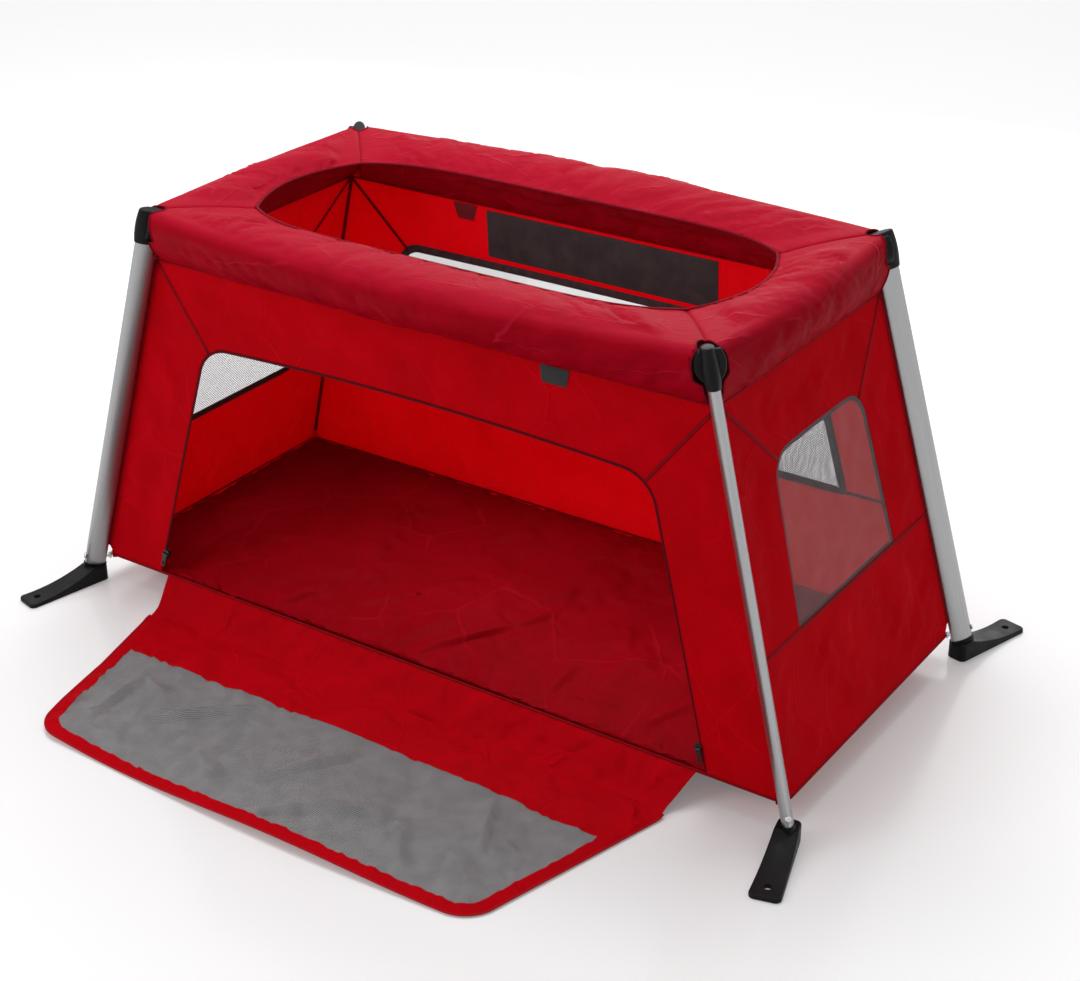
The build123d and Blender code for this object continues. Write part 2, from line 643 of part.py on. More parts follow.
def pad_form(inset):
    """The mattress's form: crowned top, upright drawn-in sides, then tapered to the tray, all inset."""
    half_x = PAD_X + 10
    half_y = PAD_Y + 10
    low = PAD_LOW + inset
    high = PAD_HIGH - inset
    sections = []
    for position, crown in ((-half_x, PAD_END_CROWN), (0, PAD_CROWN), (half_x, PAD_END_CROWN)):
        section = make_face(
            [
                *Polyline((half_y, high), (half_y, low), (-half_y, low), (-half_y, high)).edges(),
                ThreePointArc((-half_y, high), (0, high + crown), (half_y, high)),
            ]
        )
        sections.append(Plane(origin=(position, 0, 0), x_dir=(0, 1, 0), z_dir=(1, 0, 0)) * section)
    form = loft(sections)
    side = drawn_in(PAD_X - inset, PAD_Y - inset)
    sole = drawn_in(PAD_X - PAD_TAPER - inset, PAD_Y - PAD_TAPER - inset)
    waist = Plane.XY.offset(PAD_SIDE_LOW)
    outside = extrude(waist * side, amount=FAR) + loft([Plane.XY.offset(PAD_LOW) * sole, waist * side])
    return form & outside


def build():
    nodes = {}
    corner_pieces = {"hub": hub(), "leg_tube": leg_tube(), "foot": foot(), "leg_hook": leg_hook()}
    for corner, sides in CORNERS.items():
        for piece, shape in corner_pieces.items():
            nodes[f"{piece}_{corner}"] = at_corner(shape, *sides)
    ring = corner_ring()
    nodes["corner_rings"] = Compound(children=[at_corner(ring, *sides) for sides in CORNERS.values()])

    right_half = rail(True, RAIL_MEETING_GAP, rail_start(True))
    nodes["rail_rear_right"] = right_half
    nodes["rail_rear_left"] = mirror(right_half, about=Plane.YZ)
    nodes["rail_front_right"] = mirror(right_half, about=Plane.XZ)
    nodes["rail_front_left"] = mirror(nodes["rail_front_right"], about=Plane.YZ)
    nodes["rail_right"] = rail(False, -rail_start(False), rail_start(False))
    nodes["rail_left"] = mirror(nodes["rail_right"], about=Plane.YZ)
    nodes["rail_joiner_rear"] = joiner()
    nodes["rail_joiner_front"] = mirror(nodes["rail_joiner_rear"], about=Plane.XZ)

    room = hub_room()
    nodes["rim_rear"] = rim_cover(True, room)
    nodes["rim_front"] = mirror(nodes["rim_rear"], about=Plane.XZ)
    nodes["rim_right"] = rim_cover(False, room)
    nodes["rim_left"] = mirror(nodes["rim_right"], about=Plane.YZ)

    doorway = doorway_outline(0)
    seam_point = (DOOR_HIGH_HALF - DOOR_SEAM_IN[0], up_wall("front", DOOR_HIGH_Z) - DOOR_SEAM_IN[1])
    for part, face in framed_panels("front", doorway, 0, seam_point).items():
        nodes[f"wall_front_{part}"] = sheet("front", face, CLOTH)
    for name in ("rear", "left", "right"):
        level = up_wall(name, WINDOW_LOW_Z)
        window = window_outline(name, 0)
        half = REAR_WINDOW_HIGH_HALF if name == "rear" else END_WINDOW_HIGH_HALF
        seam_point = (half - WINDOW_SEAM_IN[0], up_wall(name, WINDOW_HIGH_Z) - WINDOW_SEAM_IN[1])
        for part, face in framed_panels(name, window, level, seam_point).items():
            nodes[f"wall_{name}_{part}"] = sheet(name, face, CLOTH)
        lower = wall_outline(name) - above_level(level)
        nodes[f"wall_{name}_lower"] = sheet(name, lower, CLOTH)
        nodes[f"window_net_{name}"] = sheet(name, window, NET)
    bindings = []
    for name in ("rear", "left", "right"):
        band = window_outline(name, BINDING_HALF) - window_outline(name, -BINDING_HALF)
        bindings.append(sheet(name, band, BINDING, -(CLOTH + BINDING) / 2))
    nodes["window_bindings"] = Compound(children=bindings)

    for node, (face, thick, past_crease) in door_faces().items():
        nodes[node] = folded_down(sheet("front", face, thick), past_crease)
    track = doorway - doorway_outline(ZIP_TRACK)
    track &= above_level(DOOR_HINGE_GAP)
    nodes["zip_track"] = sheet("front", track, ZIP_THICK)
    for side, flip in (("right", False), ("left", True)):
        for piece, shape in (("zip_slider", zip_slider()), ("zip_pull", zip_pull())):
            nodes[f"{piece}_{side}"] = mirror(shape, about=Plane.YZ) if flip else shape

    nodes["floor_sheet"] = floor_sheet()
    nodes["mattress_cover"] = pad_form(0) - pad_form(PAD_COVER)
    nodes["mattress_foam"] = pad_form(PAD_COVER + PAD_SLACK)
    stand_out = (CLOTH + PATCH_THICK) / 2
    nodes["front_tag"] = sewn_patch("front", TAG, PATCH_THICK, stand_out)
    nodes["inner_tab"] = sewn_patch("rear", TAB, PATCH_THICK, -stand_out)
    nodes["inner_patch"] = sewn_patch("rear", PATCH, PATCH_THICK, -stand_out)
    return nodes


os.makedirs("parts", exist_ok=True)
for node, shape in build().items():
    export_step(shape, f"parts/{node}.step")
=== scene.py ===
import math

import bmesh
import bpy
import numpy as np
from mathutils import Matrix, Vector, geometry, kdtree


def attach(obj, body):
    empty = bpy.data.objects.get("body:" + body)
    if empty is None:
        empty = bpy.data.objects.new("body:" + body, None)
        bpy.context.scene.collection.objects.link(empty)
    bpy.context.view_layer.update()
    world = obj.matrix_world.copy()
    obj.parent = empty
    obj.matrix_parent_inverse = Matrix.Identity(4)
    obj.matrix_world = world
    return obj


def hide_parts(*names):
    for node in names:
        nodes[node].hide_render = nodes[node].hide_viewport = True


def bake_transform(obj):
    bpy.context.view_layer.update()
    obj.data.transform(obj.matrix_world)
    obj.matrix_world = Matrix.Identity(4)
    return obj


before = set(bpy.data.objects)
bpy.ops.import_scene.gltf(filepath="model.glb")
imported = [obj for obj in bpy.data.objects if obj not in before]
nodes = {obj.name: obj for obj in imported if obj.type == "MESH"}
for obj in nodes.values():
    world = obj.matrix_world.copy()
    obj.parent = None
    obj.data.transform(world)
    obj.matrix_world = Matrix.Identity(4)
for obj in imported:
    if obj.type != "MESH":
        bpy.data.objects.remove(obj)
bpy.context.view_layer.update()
chance = np.random.default_rng(7)


# Legs: four oval aluminium tubes, satin anodised, pushed onto the corner hubs and splayed outward.
# The drawing marks run down each tube, so the finish follows its lean in both directions.
LEG_TOP = Vector((0.4312, 0.2229, 0.5426))
LEG_FOOT = Vector((0.5687, 0.2524, 0.0278))
CORNERS = {"front_left": (-1, -1), "front_right": (1, -1), "rear_left": (-1, 1), "rear_right": (1, 1)}


class Socket:
    """An output of a shader node: arithmetic on it adds Math nodes, and node() adds any other node."""

    def __init__(self, tree, output=None):
        self.tree = tree
        self.output = output

    def node(self, kind, settings, sockets, take=0):
        made = self.tree.nodes.new("ShaderNode" + kind)
        for key, value in settings.items():
            setattr(made, key, value)
        self.fill(made, sockets)
        return Socket(self.tree, made.outputs[take])

    def fill(self, made, sockets):
        for key, value in sockets.items():
            if isinstance(value, Socket):
                self.tree.links.new(value.output, made.inputs[key])
            else:
                made.inputs[key].default_value = value

    def surface(self, sockets):
        self.fill(self.tree.nodes["Principled BSDF"], sockets)

    def source(self, kind, take=0):
        return self.node(kind, {}, {}, take)

    def parts(self):
        split = self.node("SeparateXYZ", {}, {0: self})
        return [Socket(self.tree, output) for output in split.output.node.outputs]

    def joined(self, x, y, z):
        return self.node("CombineXYZ", {}, {0: x, 1: y, 2: z})

    def noise(self, scale, detail=3.0, distortion=0.0):
        inputs = {"Vector": self, "Scale": scale, "Detail": detail, "Distortion": distortion}
        return self.node("TexNoise", {}, inputs)

    def between(self, low, high):
        inputs = {"Value": self, "From Min": low, "From Max": high}
        return self.node("MapRange", {"interpolation_type": "SMOOTHSTEP"}, inputs)

    def weave(self, pitch):
        u, v, _ = self.parts()
        thread = 2 * math.pi / pitch
        return (u * thread).math("SINE") * (v * thread).math("SINE")

    def tint(self, first, second):
        first, second = (c if isinstance(c, Socket) else (*c, 1) for c in (first, second))
        return self.node("Mix", {"data_type": "RGBA"}, {0: self, 6: first, 7: second}, 2)

    def bump(self, distance, strength, under=None):
        sockets = {"Height": self, "Distance": distance, "Strength": strength}
        if under:
            sockets["Normal"] = under
        return self.node("Bump", {}, sockets)

    def math(self, operation, *others):
        return self.node("Math", {"operation": operation}, dict(enumerate((self, *others))))

    def __add__(self, other):
        return self.math("ADD", other)

    def __sub__(self, other):
        return self.math("SUBTRACT", other)

    def __rsub__(self, other):
        return self.node("Math", {"operation": "SUBTRACT"}, {0: other, 1: self})

    def __mul__(self, other):
        return self.math("MULTIPLY", other)

    __radd__ = __add__
    __rmul__ = __mul__


def new_material(name):
    made = bpy.data.materials.new(name)
    made.use_nodes = True
    return made, Socket(made.node_tree)


def dress(material, *names):
    for name in names:
        nodes[name].data.materials.clear()
        nodes[name].data.materials.append(material)


anodised, start = new_material("anodised_aluminium")
lean = (LEG_FOOT - LEG_TOP) / (LEG_TOP.z - LEG_FOOT.z)
x, y, z = start.source("TexCoord", "Object").parts()
across = x.joined(x.math("ABSOLUTE") + lean.x * z, y.math("ABSOLUTE") + lean.y * z, z * 0.012)
marks = across.noise(900.0)
cloudy = across.noise(60.0, 2.0)
start.surface({
    "Base Color": marks.tint((0.30, 0.305, 0.31), (0.41, 0.41, 0.415)),
    "Metallic": 1.0,
    "Roughness": 0.27 + 0.10 * marks + 0.06 * cloudy,
    "Normal": marks.bump(0.00004, 0.4),
})
dress(anodised, *(f"leg_tube_{corner}" for corner in CORNERS))


# Hubs and feet: moulded in black nylon with a fine spark texture, a little shinier where they are rubbed.
# The hub grips the leg and both rails; the foot is a flat blade with a peg hole in its toe.
moulded, start = new_material("black_moulding")
place = start.source("TexCoord", "Object")
grain = place.noise(1500.0, 2.0)
rubbed = place.noise(35.0, 4.0).between(0.45, 0.7)
start.surface({
    "Base Color": rubbed.tint((0.0045, 0.0045, 0.005), (0.009, 0.009, 0.010)),
    "Roughness": 0.44 - 0.14 * rubbed + 0.08 * grain,
    "Specular IOR Level": 0.13,
    "Normal": grain.bump(0.00012, 0.5),
})
dress(moulded, *(f"{piece}_{corner}" for piece in ("hub", "foot") for corner in CORNERS))


# Leg hooks: a bright plated steel rivet through each leg near its foot, with an upright prong on the
# inner side. The ring at the hem's corner is slipped over the prong.
def metal(name, dark, light, grain, smooth, duller):
    """Bare metal: a grain of noise makes it paler and duller in places."""
    made, start = new_material(name)
    worn = start.source("TexCoord", "Object").noise(*grain)
    start.surface({
        "Base Color": worn.tint(dark, light),
        "Metallic": 1.0,
        "Roughness": smooth + duller * worn,
    })
    return made


plated = metal("plated_steel", (0.46, 0.46, 0.47), (0.62, 0.62, 0.62), (420.0, 4.0), 0.18, 0.22)
dress(plated, *(f"leg_hook_{corner}" for corner in CORNERS))


# Rails: plain drawn aluminium tube, bowed, pushed into the hubs inside the sleeves of the rim covers.
# The long ones part in the middle, at a joiner.
drawn = metal("drawn_aluminium", (0.50, 0.50, 0.51), (0.66, 0.66, 0.67), (700.0, 3.0, 0.4), 0.3, 0.2)
dress(drawn, *(f"rail_{half}" for half in ("rear_right", "rear_left", "front_right", "front_left")))
dress(drawn, "rail_right", "rail_left", "rail_joiner_rear", "rail_joiner_front")


# Rim covers: four crimson nylon sleeves padded with thin foam, sewn together at the mitred corners and
# pulled over the bowed rails. Spare cloth gathers into creases; the corners are cut open round the hubs.
BODY = "frame_and_tub"
RAIL_Z = 0.576
HUB_AT_RAIL = LEG_TOP + (LEG_TOP - LEG_FOOT) * ((RAIL_Z - LEG_TOP.z) / (LEG_TOP.z - LEG_FOOT.z))
BOW_LONG, BOW_SHORT = 0.035, 0.013
MOUTH_X, MOUTH_Y = 0.365, 0.152
MOUTH_CORNER_X, MOUTH_CORNER_Y = 0.331, 0.112
MOUTH_Z, CREST_Z, OUTER_Z = 0.577, 0.5895, 0.570
SEAM_X, SEAM_Y, SEAM_Z = 0.4294, 0.2088, 0.514
RIM_PROUD, CREST_IN, TOP_SWELL, FOOT_LIFT = 0.0125, 0.003, 0.003, 0.0004
SHOULDER, BELLY, INNER_SWELL = (0.0045, 0.006), (0.007, -0.0028), (0.004, 0.004)
GROOVE_DEEP, GROOVE_WIDE = 0.0016, 0.005
STITCH_DEEP, STITCH_FROM, STITCH_WIDE, STITCH_PAST = 0.0010, 0.012, 0.003, 0.02
PLAIN_END, PLAIN_EASE = 0.034, 0.045
RIM_STEP, RIM_SEWN = 0.0055, (0, 41)


def cloth_finish(name, light, dark, spread, gloss, rough, along=1.0, through=0.0, upward_highlight=None, ridge_highlight=None):
    """Woven nylon on cloth coordinates in metres: fine weave, a mottled colour, small creases that may be
    drawn out along the cloth, and sharper wrinkles here and there. The creases and wrinkles paint the
    colour lighter where they rise, and a ridge colour may paint a highlight along the wrinkles. Thin
    cloth lets light through, and cloth that looks upward may get a painted highlight."""
    made, start = new_material(name)
    flat = start.source("UVMap")
    u, v, _ = flat.parts()
    weave = flat.weave(0.0009)
    drawn = u.joined(u * along, v, 0.0)
    creases = drawn.noise(spread * 3, 5.0, 1.2)
    mottle = flat.noise(spread, 4.0, 0.6)
    bent = u.joined(u * along + 0.04 * flat.noise(9.0), v + 0.04 * flat.noise(11.0), 0.0)
    cells = bent.node(
        "TexVoronoi",
        {"feature": "DISTANCE_TO_EDGE", "voronoi_dimensions": "2D"},
        {"Vector": bent, "Scale": spread * 0.7},
        "Distance",
    )
    wrinkles = (1 - cells.between(0.0, 0.035)) * flat.noise(spread * 0.5, 2.0).between(0.44, 0.6)
    # Where the creases and wrinkles rise, the mottled colour is painted lighter: painted light on their
    # raised parts.
    colour = (0.65 * mottle + 0.35 * creases + 0.2 * wrinkles).between(0.3, 0.75).tint(dark, light)
    # Faces that look upward are mixed towards a paler pink: a painted highlight where the top catches the
    # light from above.
    if upward_highlight:
        upper = start.source("NewGeometry", "Normal").parts()[2]
        colour = (upper.between(0.25, 1.0) * (0.45 + 0.55 * mottle)).tint(colour, upward_highlight)
    # The wrinkles' lines are mixed towards the ridge colour: a painted highlight along their crests.
    if ridge_highlight:
        colour = (wrinkles * 0.18).tint(colour, ridge_highlight)
    start.surface({
        "Base Color": colour,
        "Roughness": rough + 0.12 * creases + 0.04 * weave,
        "Specular IOR Level": gloss,
        "Subsurface Weight": through,
        "Subsurface Radius": (1.0, 0.05, 0.05),
        "Subsurface Scale": 0.006,
        "Normal": weave.bump(0.00006, 0.5, (creases + 1.2 * wrinkles).bump(0.0018, 0.5)),
    })
    return made


def arc_through(first, middle, last, count):
    """Points on the circle through three points of a plane, from the first to the last."""
    a, b, c = (complex(*point) for point in (first, middle, last))
    w = (c - a) / (b - a)
    centre = (b - a) * (w - abs(w) ** 2) / (2j * w.imag) + a
    turn = np.angle((b - centre) / (a - centre)) + np.angle((c - centre) / (b - centre))
    points = centre + (a - centre) * np.exp(1j * turn * np.linspace(0, 1, count))
    return np.column_stack([points.real, points.imag])


def run_along(path):
    """The length run from a path's start at each of its points."""
    return np.concatenate([[0], np.cumsum(np.linalg.norm(np.diff(path, axis=0), axis=1))])


def bowed(position, half, bow):
    """How far a bowed rail stands out beyond its ends at a position along it."""
    radius = (half * half + bow * bow) / (2 * bow)
    return bow - radius + math.sqrt(radius * radius - position * position)


def rim_profile(rail_out, reach, seam):
    """Section of the padded cover from the mouth's edge: top, shoulder, outer face and inner face."""
    mouth = np.array((0, MOUTH_Z))
    crest = np.array((rail_out - CREST_IN, CREST_Z))
    outer = np.array((reach, OUTER_Z))
    foot = np.array((seam, SEAM_Z + FOOT_LIFT))
    shoulder = (reach - SHOULDER[0], CREST_Z - SHOULDER[1])
    top = arc_through(mouth, (mouth + crest) / 2 + (0, TOP_SWELL), crest, 22)
    over = arc_through(crest, shoulder, outer, 7)
    belly = arc_through(outer, (outer + foot) / 2 + BELLY, foot, 15)
    inside = arc_through(foot, (foot + mouth) / 2 + INNER_SWELL, mouth, 16)
    return np.vstack([top, over[1:], belly[1:], inside[1:-1]])


def mouth_edge(position, long_side):
    if long_side:
        return MOUTH_Y - (MOUTH_Y - MOUTH_CORNER_Y) * abs(position / MOUTH_CORNER_X) ** 6
    return MOUTH_X - (MOUTH_X - MOUTH_CORNER_X) * abs(position / MOUTH_CORNER_Y) ** 2


def new_piece(name, points, faces, flat=None, *materials):
    """A mesh object from points and faces, with its cloth coordinates in metres as the UV map."""
    mesh = bpy.data.meshes.new(name)
    mesh.from_pydata([tuple(p) for p in points], [], [tuple(int(i) for i in f) for f in faces])
    if flat is not None:
        layer = mesh.uv_layers.new(name="UVMap")
        corners = np.zeros(len(mesh.loops), np.int32)
        mesh.loops.foreach_get("vertex_index", corners)
        layer.data.foreach_set("uv", np.asarray(flat, np.float32)[corners].ravel())
    mesh.polygons.foreach_set("use_smooth", np.ones(len(mesh.polygons), bool))
    for material in materials:
        mesh.materials.append(material)
    piece = bpy.data.objects.new(name, mesh)
    bpy.context.scene.collection.objects.link(piece)
    return piece


def faces_between(rows, ring, closed=False):
    """Four-sided faces from each ring of points to the next, and back to the first if closed."""
    faces = []
    for row in range(rows if closed else rows - 1):
        here, there = row * ring, (row + 1) % rows * ring
        for k in range(ring):
            ahead = (k + 1) % ring
            faces.append((here + k, here + ahead, there + ahead, there + k))
    return faces


def face_outward(piece):
    """Turns a closed piece's faces to look outward."""
    shape = bmesh.new()
    shape.from_mesh(piece.data)
    bmesh.ops.recalc_face_normals(shape, faces=shape.faces)
    if shape.calc_volume(signed=True) < 0:
        bmesh.ops.reverse_faces(shape, faces=shape.faces)
    shape.to_mesh(piece.data)
    shape.free()


def fix_to_tub(piece, slot, *stands_for):
    """Fixes a piece to the frame and tub, in place of the nodes it stands for. Its slot is not used."""
    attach(piece, BODY)
    if stands_for:
        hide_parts(*stands_for)


def coordinates(mesh):
    points = np.zeros(len(mesh.vertices) * 3, np.float32)
    mesh.vertices.foreach_get("co", points)
    return points.reshape(-1, 3).astype(float)


def find_folds(piece, held, spare, cap, pressure=0.0, stiff=0.4, frames=16, inward=1.0, ease=1.0):
    """Lets a piece's cloth settle with a share of spare length between the points that are sewn down.
    A fold stays within the cap, goes no deeper in than inward, and dies out as ease falls to 0."""
    mesh = piece.data
    rest = coordinates(mesh)
    mesh.vertices.foreach_set("co", (rest + chance.normal(0, 0.0003, rest.shape)).ravel())
    group = piece.vertex_groups.new(name="sewn")
    group.add([int(i) for i in np.flatnonzero(held)], 1.0, "REPLACE")
    cloth = piece.modifiers.new("folds", "CLOTH")
    nylon = {"quality": 5, "mass": 0.15, "tension_stiffness": 20, "compression_stiffness": 20}
    nylon |= {"shear_stiffness": 12, "bending_stiffness": stiff, "shrink_min": -spare}
    nylon |= {"use_pressure": pressure != 0, "uniform_pressure_force": pressure}
    for key, value in nylon.items():
        setattr(cloth.settings, key, value)
    cloth.settings.vertex_group_mass = "sewn"
    cloth.settings.effector_weights.gravity = 0
    cloth.collision_settings.use_collision = False
    cloth.point_cache.frame_end = frames
    for moment in range(1, frames + 1):
        bpy.context.scene.frame_set(moment)
    settled = piece.evaluated_get(bpy.context.evaluated_depsgraph_get()).to_mesh()
    moved = coordinates(settled) - rest
    piece.modifiers.remove(cloth)
    piece.vertex_groups.remove(group)
    size = np.linalg.norm(moved, axis=1, keepdims=True)
    moved *= cap * np.tanh(size / cap) / np.maximum(size, 1e-9)
    mesh.vertices.foreach_set("co", rest.ravel())
    mesh.update()
    outward = np.zeros(rest.size, np.float32)
    mesh.vertices.foreach_get("normal", outward)
    outward = outward.reshape(-1, 3)
    depth = -(moved * outward).sum(1, keepdims=True)
    moved += outward * np.maximum(depth - inward, 0)
    moved *= np.reshape(ease, (-1, 1))
    moved[held] = 0
    mesh.vertices.foreach_set("co", (rest + moved).ravel())
    mesh.update()
    bpy.context.scene.frame_set(1)


def rim_cover(name, long_side, side):
    """One rim cover as a closed sleeve of sections that fan out from mitre to mitre."""
    half, base, bow = (HUB_AT_RAIL.x, HUB_AT_RAIL.y, BOW_LONG)
    corner, seam_line = MOUTH_CORNER_X, SEAM_Y
    if not long_side:
        half, base, bow = (HUB_AT_RAIL.y, HUB_AT_RAIL.x, BOW_SHORT)
        corner, seam_line = MOUTH_CORNER_Y, SEAM_X
    mitre = (HUB_AT_RAIL.x - MOUTH_CORNER_X) / (HUB_AT_RAIL.y - MOUTH_CORNER_Y)
    proud = RIM_PROUD if long_side else RIM_PROUD * mitre
    stations = np.linspace(-1, 1, 2 * int(half / RIM_STEP) + 1)
    points, flat = [], []
    for share in stations:
        inner = np.array((share * corner, mouth_edge(share * corner, long_side)))
        width = np.array((share * half, base + bowed(share * half, half, bow))) - inner
        reach = np.linalg.norm(width)
        across = width / reach
        profile = rim_profile(reach, reach + proud / across[1], (seam_line - inner[1]) / across[1])
        along = run_along(profile)
        from_mitre = (1 - abs(share)) * half
        sink = GROOVE_DEEP * math.exp(-((from_mitre / GROOVE_WIDE) ** 2))
        sink = sink + STITCH_DEEP * np.exp(-(((along - STITCH_FROM) / STITCH_WIDE) ** 2))
        plan = inner + np.outer(profile[:, 0], across)
        if not long_side:
            plan = plan[:, ::-1]
        plan = plan * ((1, side) if long_side else (side, 1))
        points.append(np.column_stack([plan, profile[:, 1] - sink * (along < reach + STITCH_PAST)]))
        flat.append(np.column_stack([np.full(len(along), share * half), along]))
    rows, ring = len(points), len(points[0])
    ends = [tuple(range(ring)), tuple(range((rows - 1) * ring, rows * ring))]
    faces = faces_between(rows, ring) + ends
    piece = new_piece(name, np.vstack(points), faces, np.vstack(flat), crimson)
    face_outward(piece)
    row, place = np.divmod(np.arange(rows * ring), ring)
    held = (row == 0) | (row == rows - 1) | np.isin(place, RIM_SEWN)
    from_mitre = (1 - np.abs(stations[row])) * half
    return piece, held, np.clip((from_mitre - PLAIN_END) / PLAIN_EASE, 0, 1)


# The covers' open corners: an arch is cut out of the cloth in front of each hub, with an oval way for
# the leg and the hub through it. The cut edges are lined and bound with thin piping.
NOTCH_HALF, NOTCH_LOW, NOTCH_SPRING, NOTCH_HIGH = 0.0215, 0.002, 0.029, 0.0505
NOTCH_TURN, NOTCH_DEEP, NOTCH_OUT = 0.013, -0.0102, 0.09
LEG_OVAL, LEG_PLAN, LEG_WAY = (0.0198, 0.0118), math.radians(52), (-0.1, 0.2)
NOTCH_PIPING, MOUTH_PIPING = 0.0014, 0.0022
leg_up = (LEG_TOP - LEG_FOOT).normalized()
plan_axis = Vector((math.cos(LEG_PLAN), math.sin(LEG_PLAN), 0))
leg_out = (plan_axis - leg_up * plan_axis.dot(leg_up)).normalized()
leg_side = leg_up.cross(leg_out)


def prism(name, outline, start, way, signs, material):
    """A closed cutter: an outline of points, drawn out along a way, at the corner on the given sides."""
    signs = np.array((*signs, 1))
    low = (np.array(outline) + np.array(start)) * signs
    high = low + np.array(way) * signs
    count = len(low)
    faces = faces_between(2, count) + [tuple(range(count)), tuple(range(count, 2 * count))]
    piece = new_piece(name, np.vstack([low, high]), faces, np.zeros((2 * count, 2)), material)
    face_outward(piece)
    return piece


def apply_modifier(piece, kind, **settings):
    added = piece.modifiers.new(kind.lower(), kind)
    for key, value in settings.items():
        setattr(added, key, value)
    with bpy.context.temp_override(object=piece, active_object=piece, selected_objects=[piece]):
        bpy.ops.object.modifier_apply(modifier=added.name)


def cut_away(piece, cutter):
    way = {"operation": "DIFFERENCE", "solver": "EXACT", "material_mode": "TRANSFER"}
    apply_modifier(piece, "BOOLEAN", object=cutter, **way)
    bpy.data.objects.remove(cutter)


def put_back(piece, smooth, folded):
    """Moves the points that the cuts left alone from the smooth cover to where its cloth had settled."""
    places = kdtree.KDTree(len(smooth))
    for number, point in enumerate(smooth):
        places.insert(point, number)
    places.balance()
    for vert in piece.data.vertices:
        _, number, gap = places.find(vert.co)
        if gap < 1e-5:
            vert.co = folded[number]


def swept(name, path, section, material, face=None, closed=False, swell=1.0):
    """A solid strip: a section of (across, out) offsets along a path, out being the way of face."""
    path, section = np.asarray(path, float), np.asarray(section, float)
    count, sides = len(path), len(section)
    ahead = np.roll(path, -1, 0) - np.roll(path, 1, 0) if closed else np.gradient(path, axis=0)
    ahead /= np.maximum(np.linalg.norm(ahead, axis=1, keepdims=True), 1e-9)
    across = np.cross(ahead, (0.31, 0.52, 0.79) if face is None else face)
    across /= np.linalg.norm(across, axis=1, keepdims=True)
    out = np.cross(across, ahead)
    grown = section[None] * np.broadcast_to(np.reshape(swell, (-1, 1, 1)), (count, 1, 1))
    rings = path[:, None] + grown[:, :, :1] * across[:, None] + grown[:, :, 1:] * out[:, None]
    length = run_along(path)
    flat = np.column_stack([np.repeat(length, sides), np.tile(section[:, 0], count)])
    faces = faces_between(count, sides, closed)
    if not closed:
        faces += [tuple(reversed(range(sides))), tuple(range((count - 1) * sides, count * sides))]
    piece = new_piece(name, rings.reshape(-1, 3), faces, flat, material)
    face_outward(piece)
    return piece


def tube(name, path, radius, material, closed=False, sides=8):
    """A round cord of mesh along a path of points, of one radius or one for each point."""
    turns = 2 * math.pi * np.arange(sides) / sides
    circle = np.column_stack([np.cos(turns), np.sin(turns)])
    return swept(name, path, circle, material, None, closed, radius)


def edge_loops(mesh):
    """Chains of points along the edges where a piece's first material meets its second."""
    shape = bmesh.new()
    shape.from_mesh(mesh)
    ahead = {}
    for edge in shape.edges:
        if {face.material_index for face in edge.link_faces} == {0, 1}:
            one, other = (vert.index for vert in edge.verts)
            ahead.setdefault(one, []).append(other)
            ahead.setdefault(other, []).append(one)
    places = {v.index: np.array(v.co) for v in shape.verts if v.index in ahead}
    shape.free()
    chains = []
    while ahead:
        here = min(ahead, key=lambda key: (len(ahead[key]), key))
        chain = [here]
        while ahead.get(here):
            there = ahead[here].pop()
            ahead[there].remove(here)
            chain.append(there)
            here = there
        ahead = {key: left for key, left in ahead.items() if left}
        chains.append([places[key] for key in chain])
    return chains


def evenly(path, step):
    """A path's points spread evenly along it, about a step apart."""
    path = np.asarray(path, float)
    length = run_along(path)
    places = np.linspace(0, length[-1], max(2, int(round(length[-1] / step)) + 1))
    return np.column_stack([np.interp(places, length, path[:, k]) for k in range(path.shape[1])])


# Painted highlights for the rim covers: a paler pink on their upward faces, and another along their
# wrinkles.
crimson_upward_highlight, crimson_ridge_highlight = (0.44, 0.007, 0.028), (0.56, 0.035, 0.075)
crimson = cloth_finish(
    "rim_crimson", (0.46, 0.002, 0.014), (0.35, 0.001, 0.009), 22.0, 0.02, 0.42, 0.3,
    upward_highlight=crimson_upward_highlight, ridge_highlight=crimson_ridge_highlight,
)
lining = cloth_finish("rim_lining", (0.16, 0.004, 0.010), (0.10, 0.003, 0.007), 26.0, 0.02, 0.8)
piping = cloth_finish("rim_piping", (0.30, 0.004, 0.018), (0.22, 0.003, 0.012), 60.0, 0.05, 0.45)
arch = arc_through((NOTCH_HALF, NOTCH_SPRING), (0, NOTCH_HIGH), (-NOTCH_HALF, NOTCH_SPRING), 33)
sill = arc_through((-NOTCH_HALF, NOTCH_TURN), (0, NOTCH_LOW), (NOTCH_HALF, NOTCH_TURN), 15)
arch_outline = [LEG_TOP + leg_side * q + leg_up * s for q, s in np.vstack([arch, sill])]
leg_outline = []
for turn in np.linspace(0, 2 * math.pi, 40, endpoint=False):
    across = leg_out * LEG_OVAL[0] * math.cos(turn) + leg_side * LEG_OVAL[1] * math.sin(turn)
    leg_outline.append(LEG_TOP + across)
RIMS = {"rear": (True, 1), "front": (True, -1), "right": (False, 1), "left": (False, -1)}
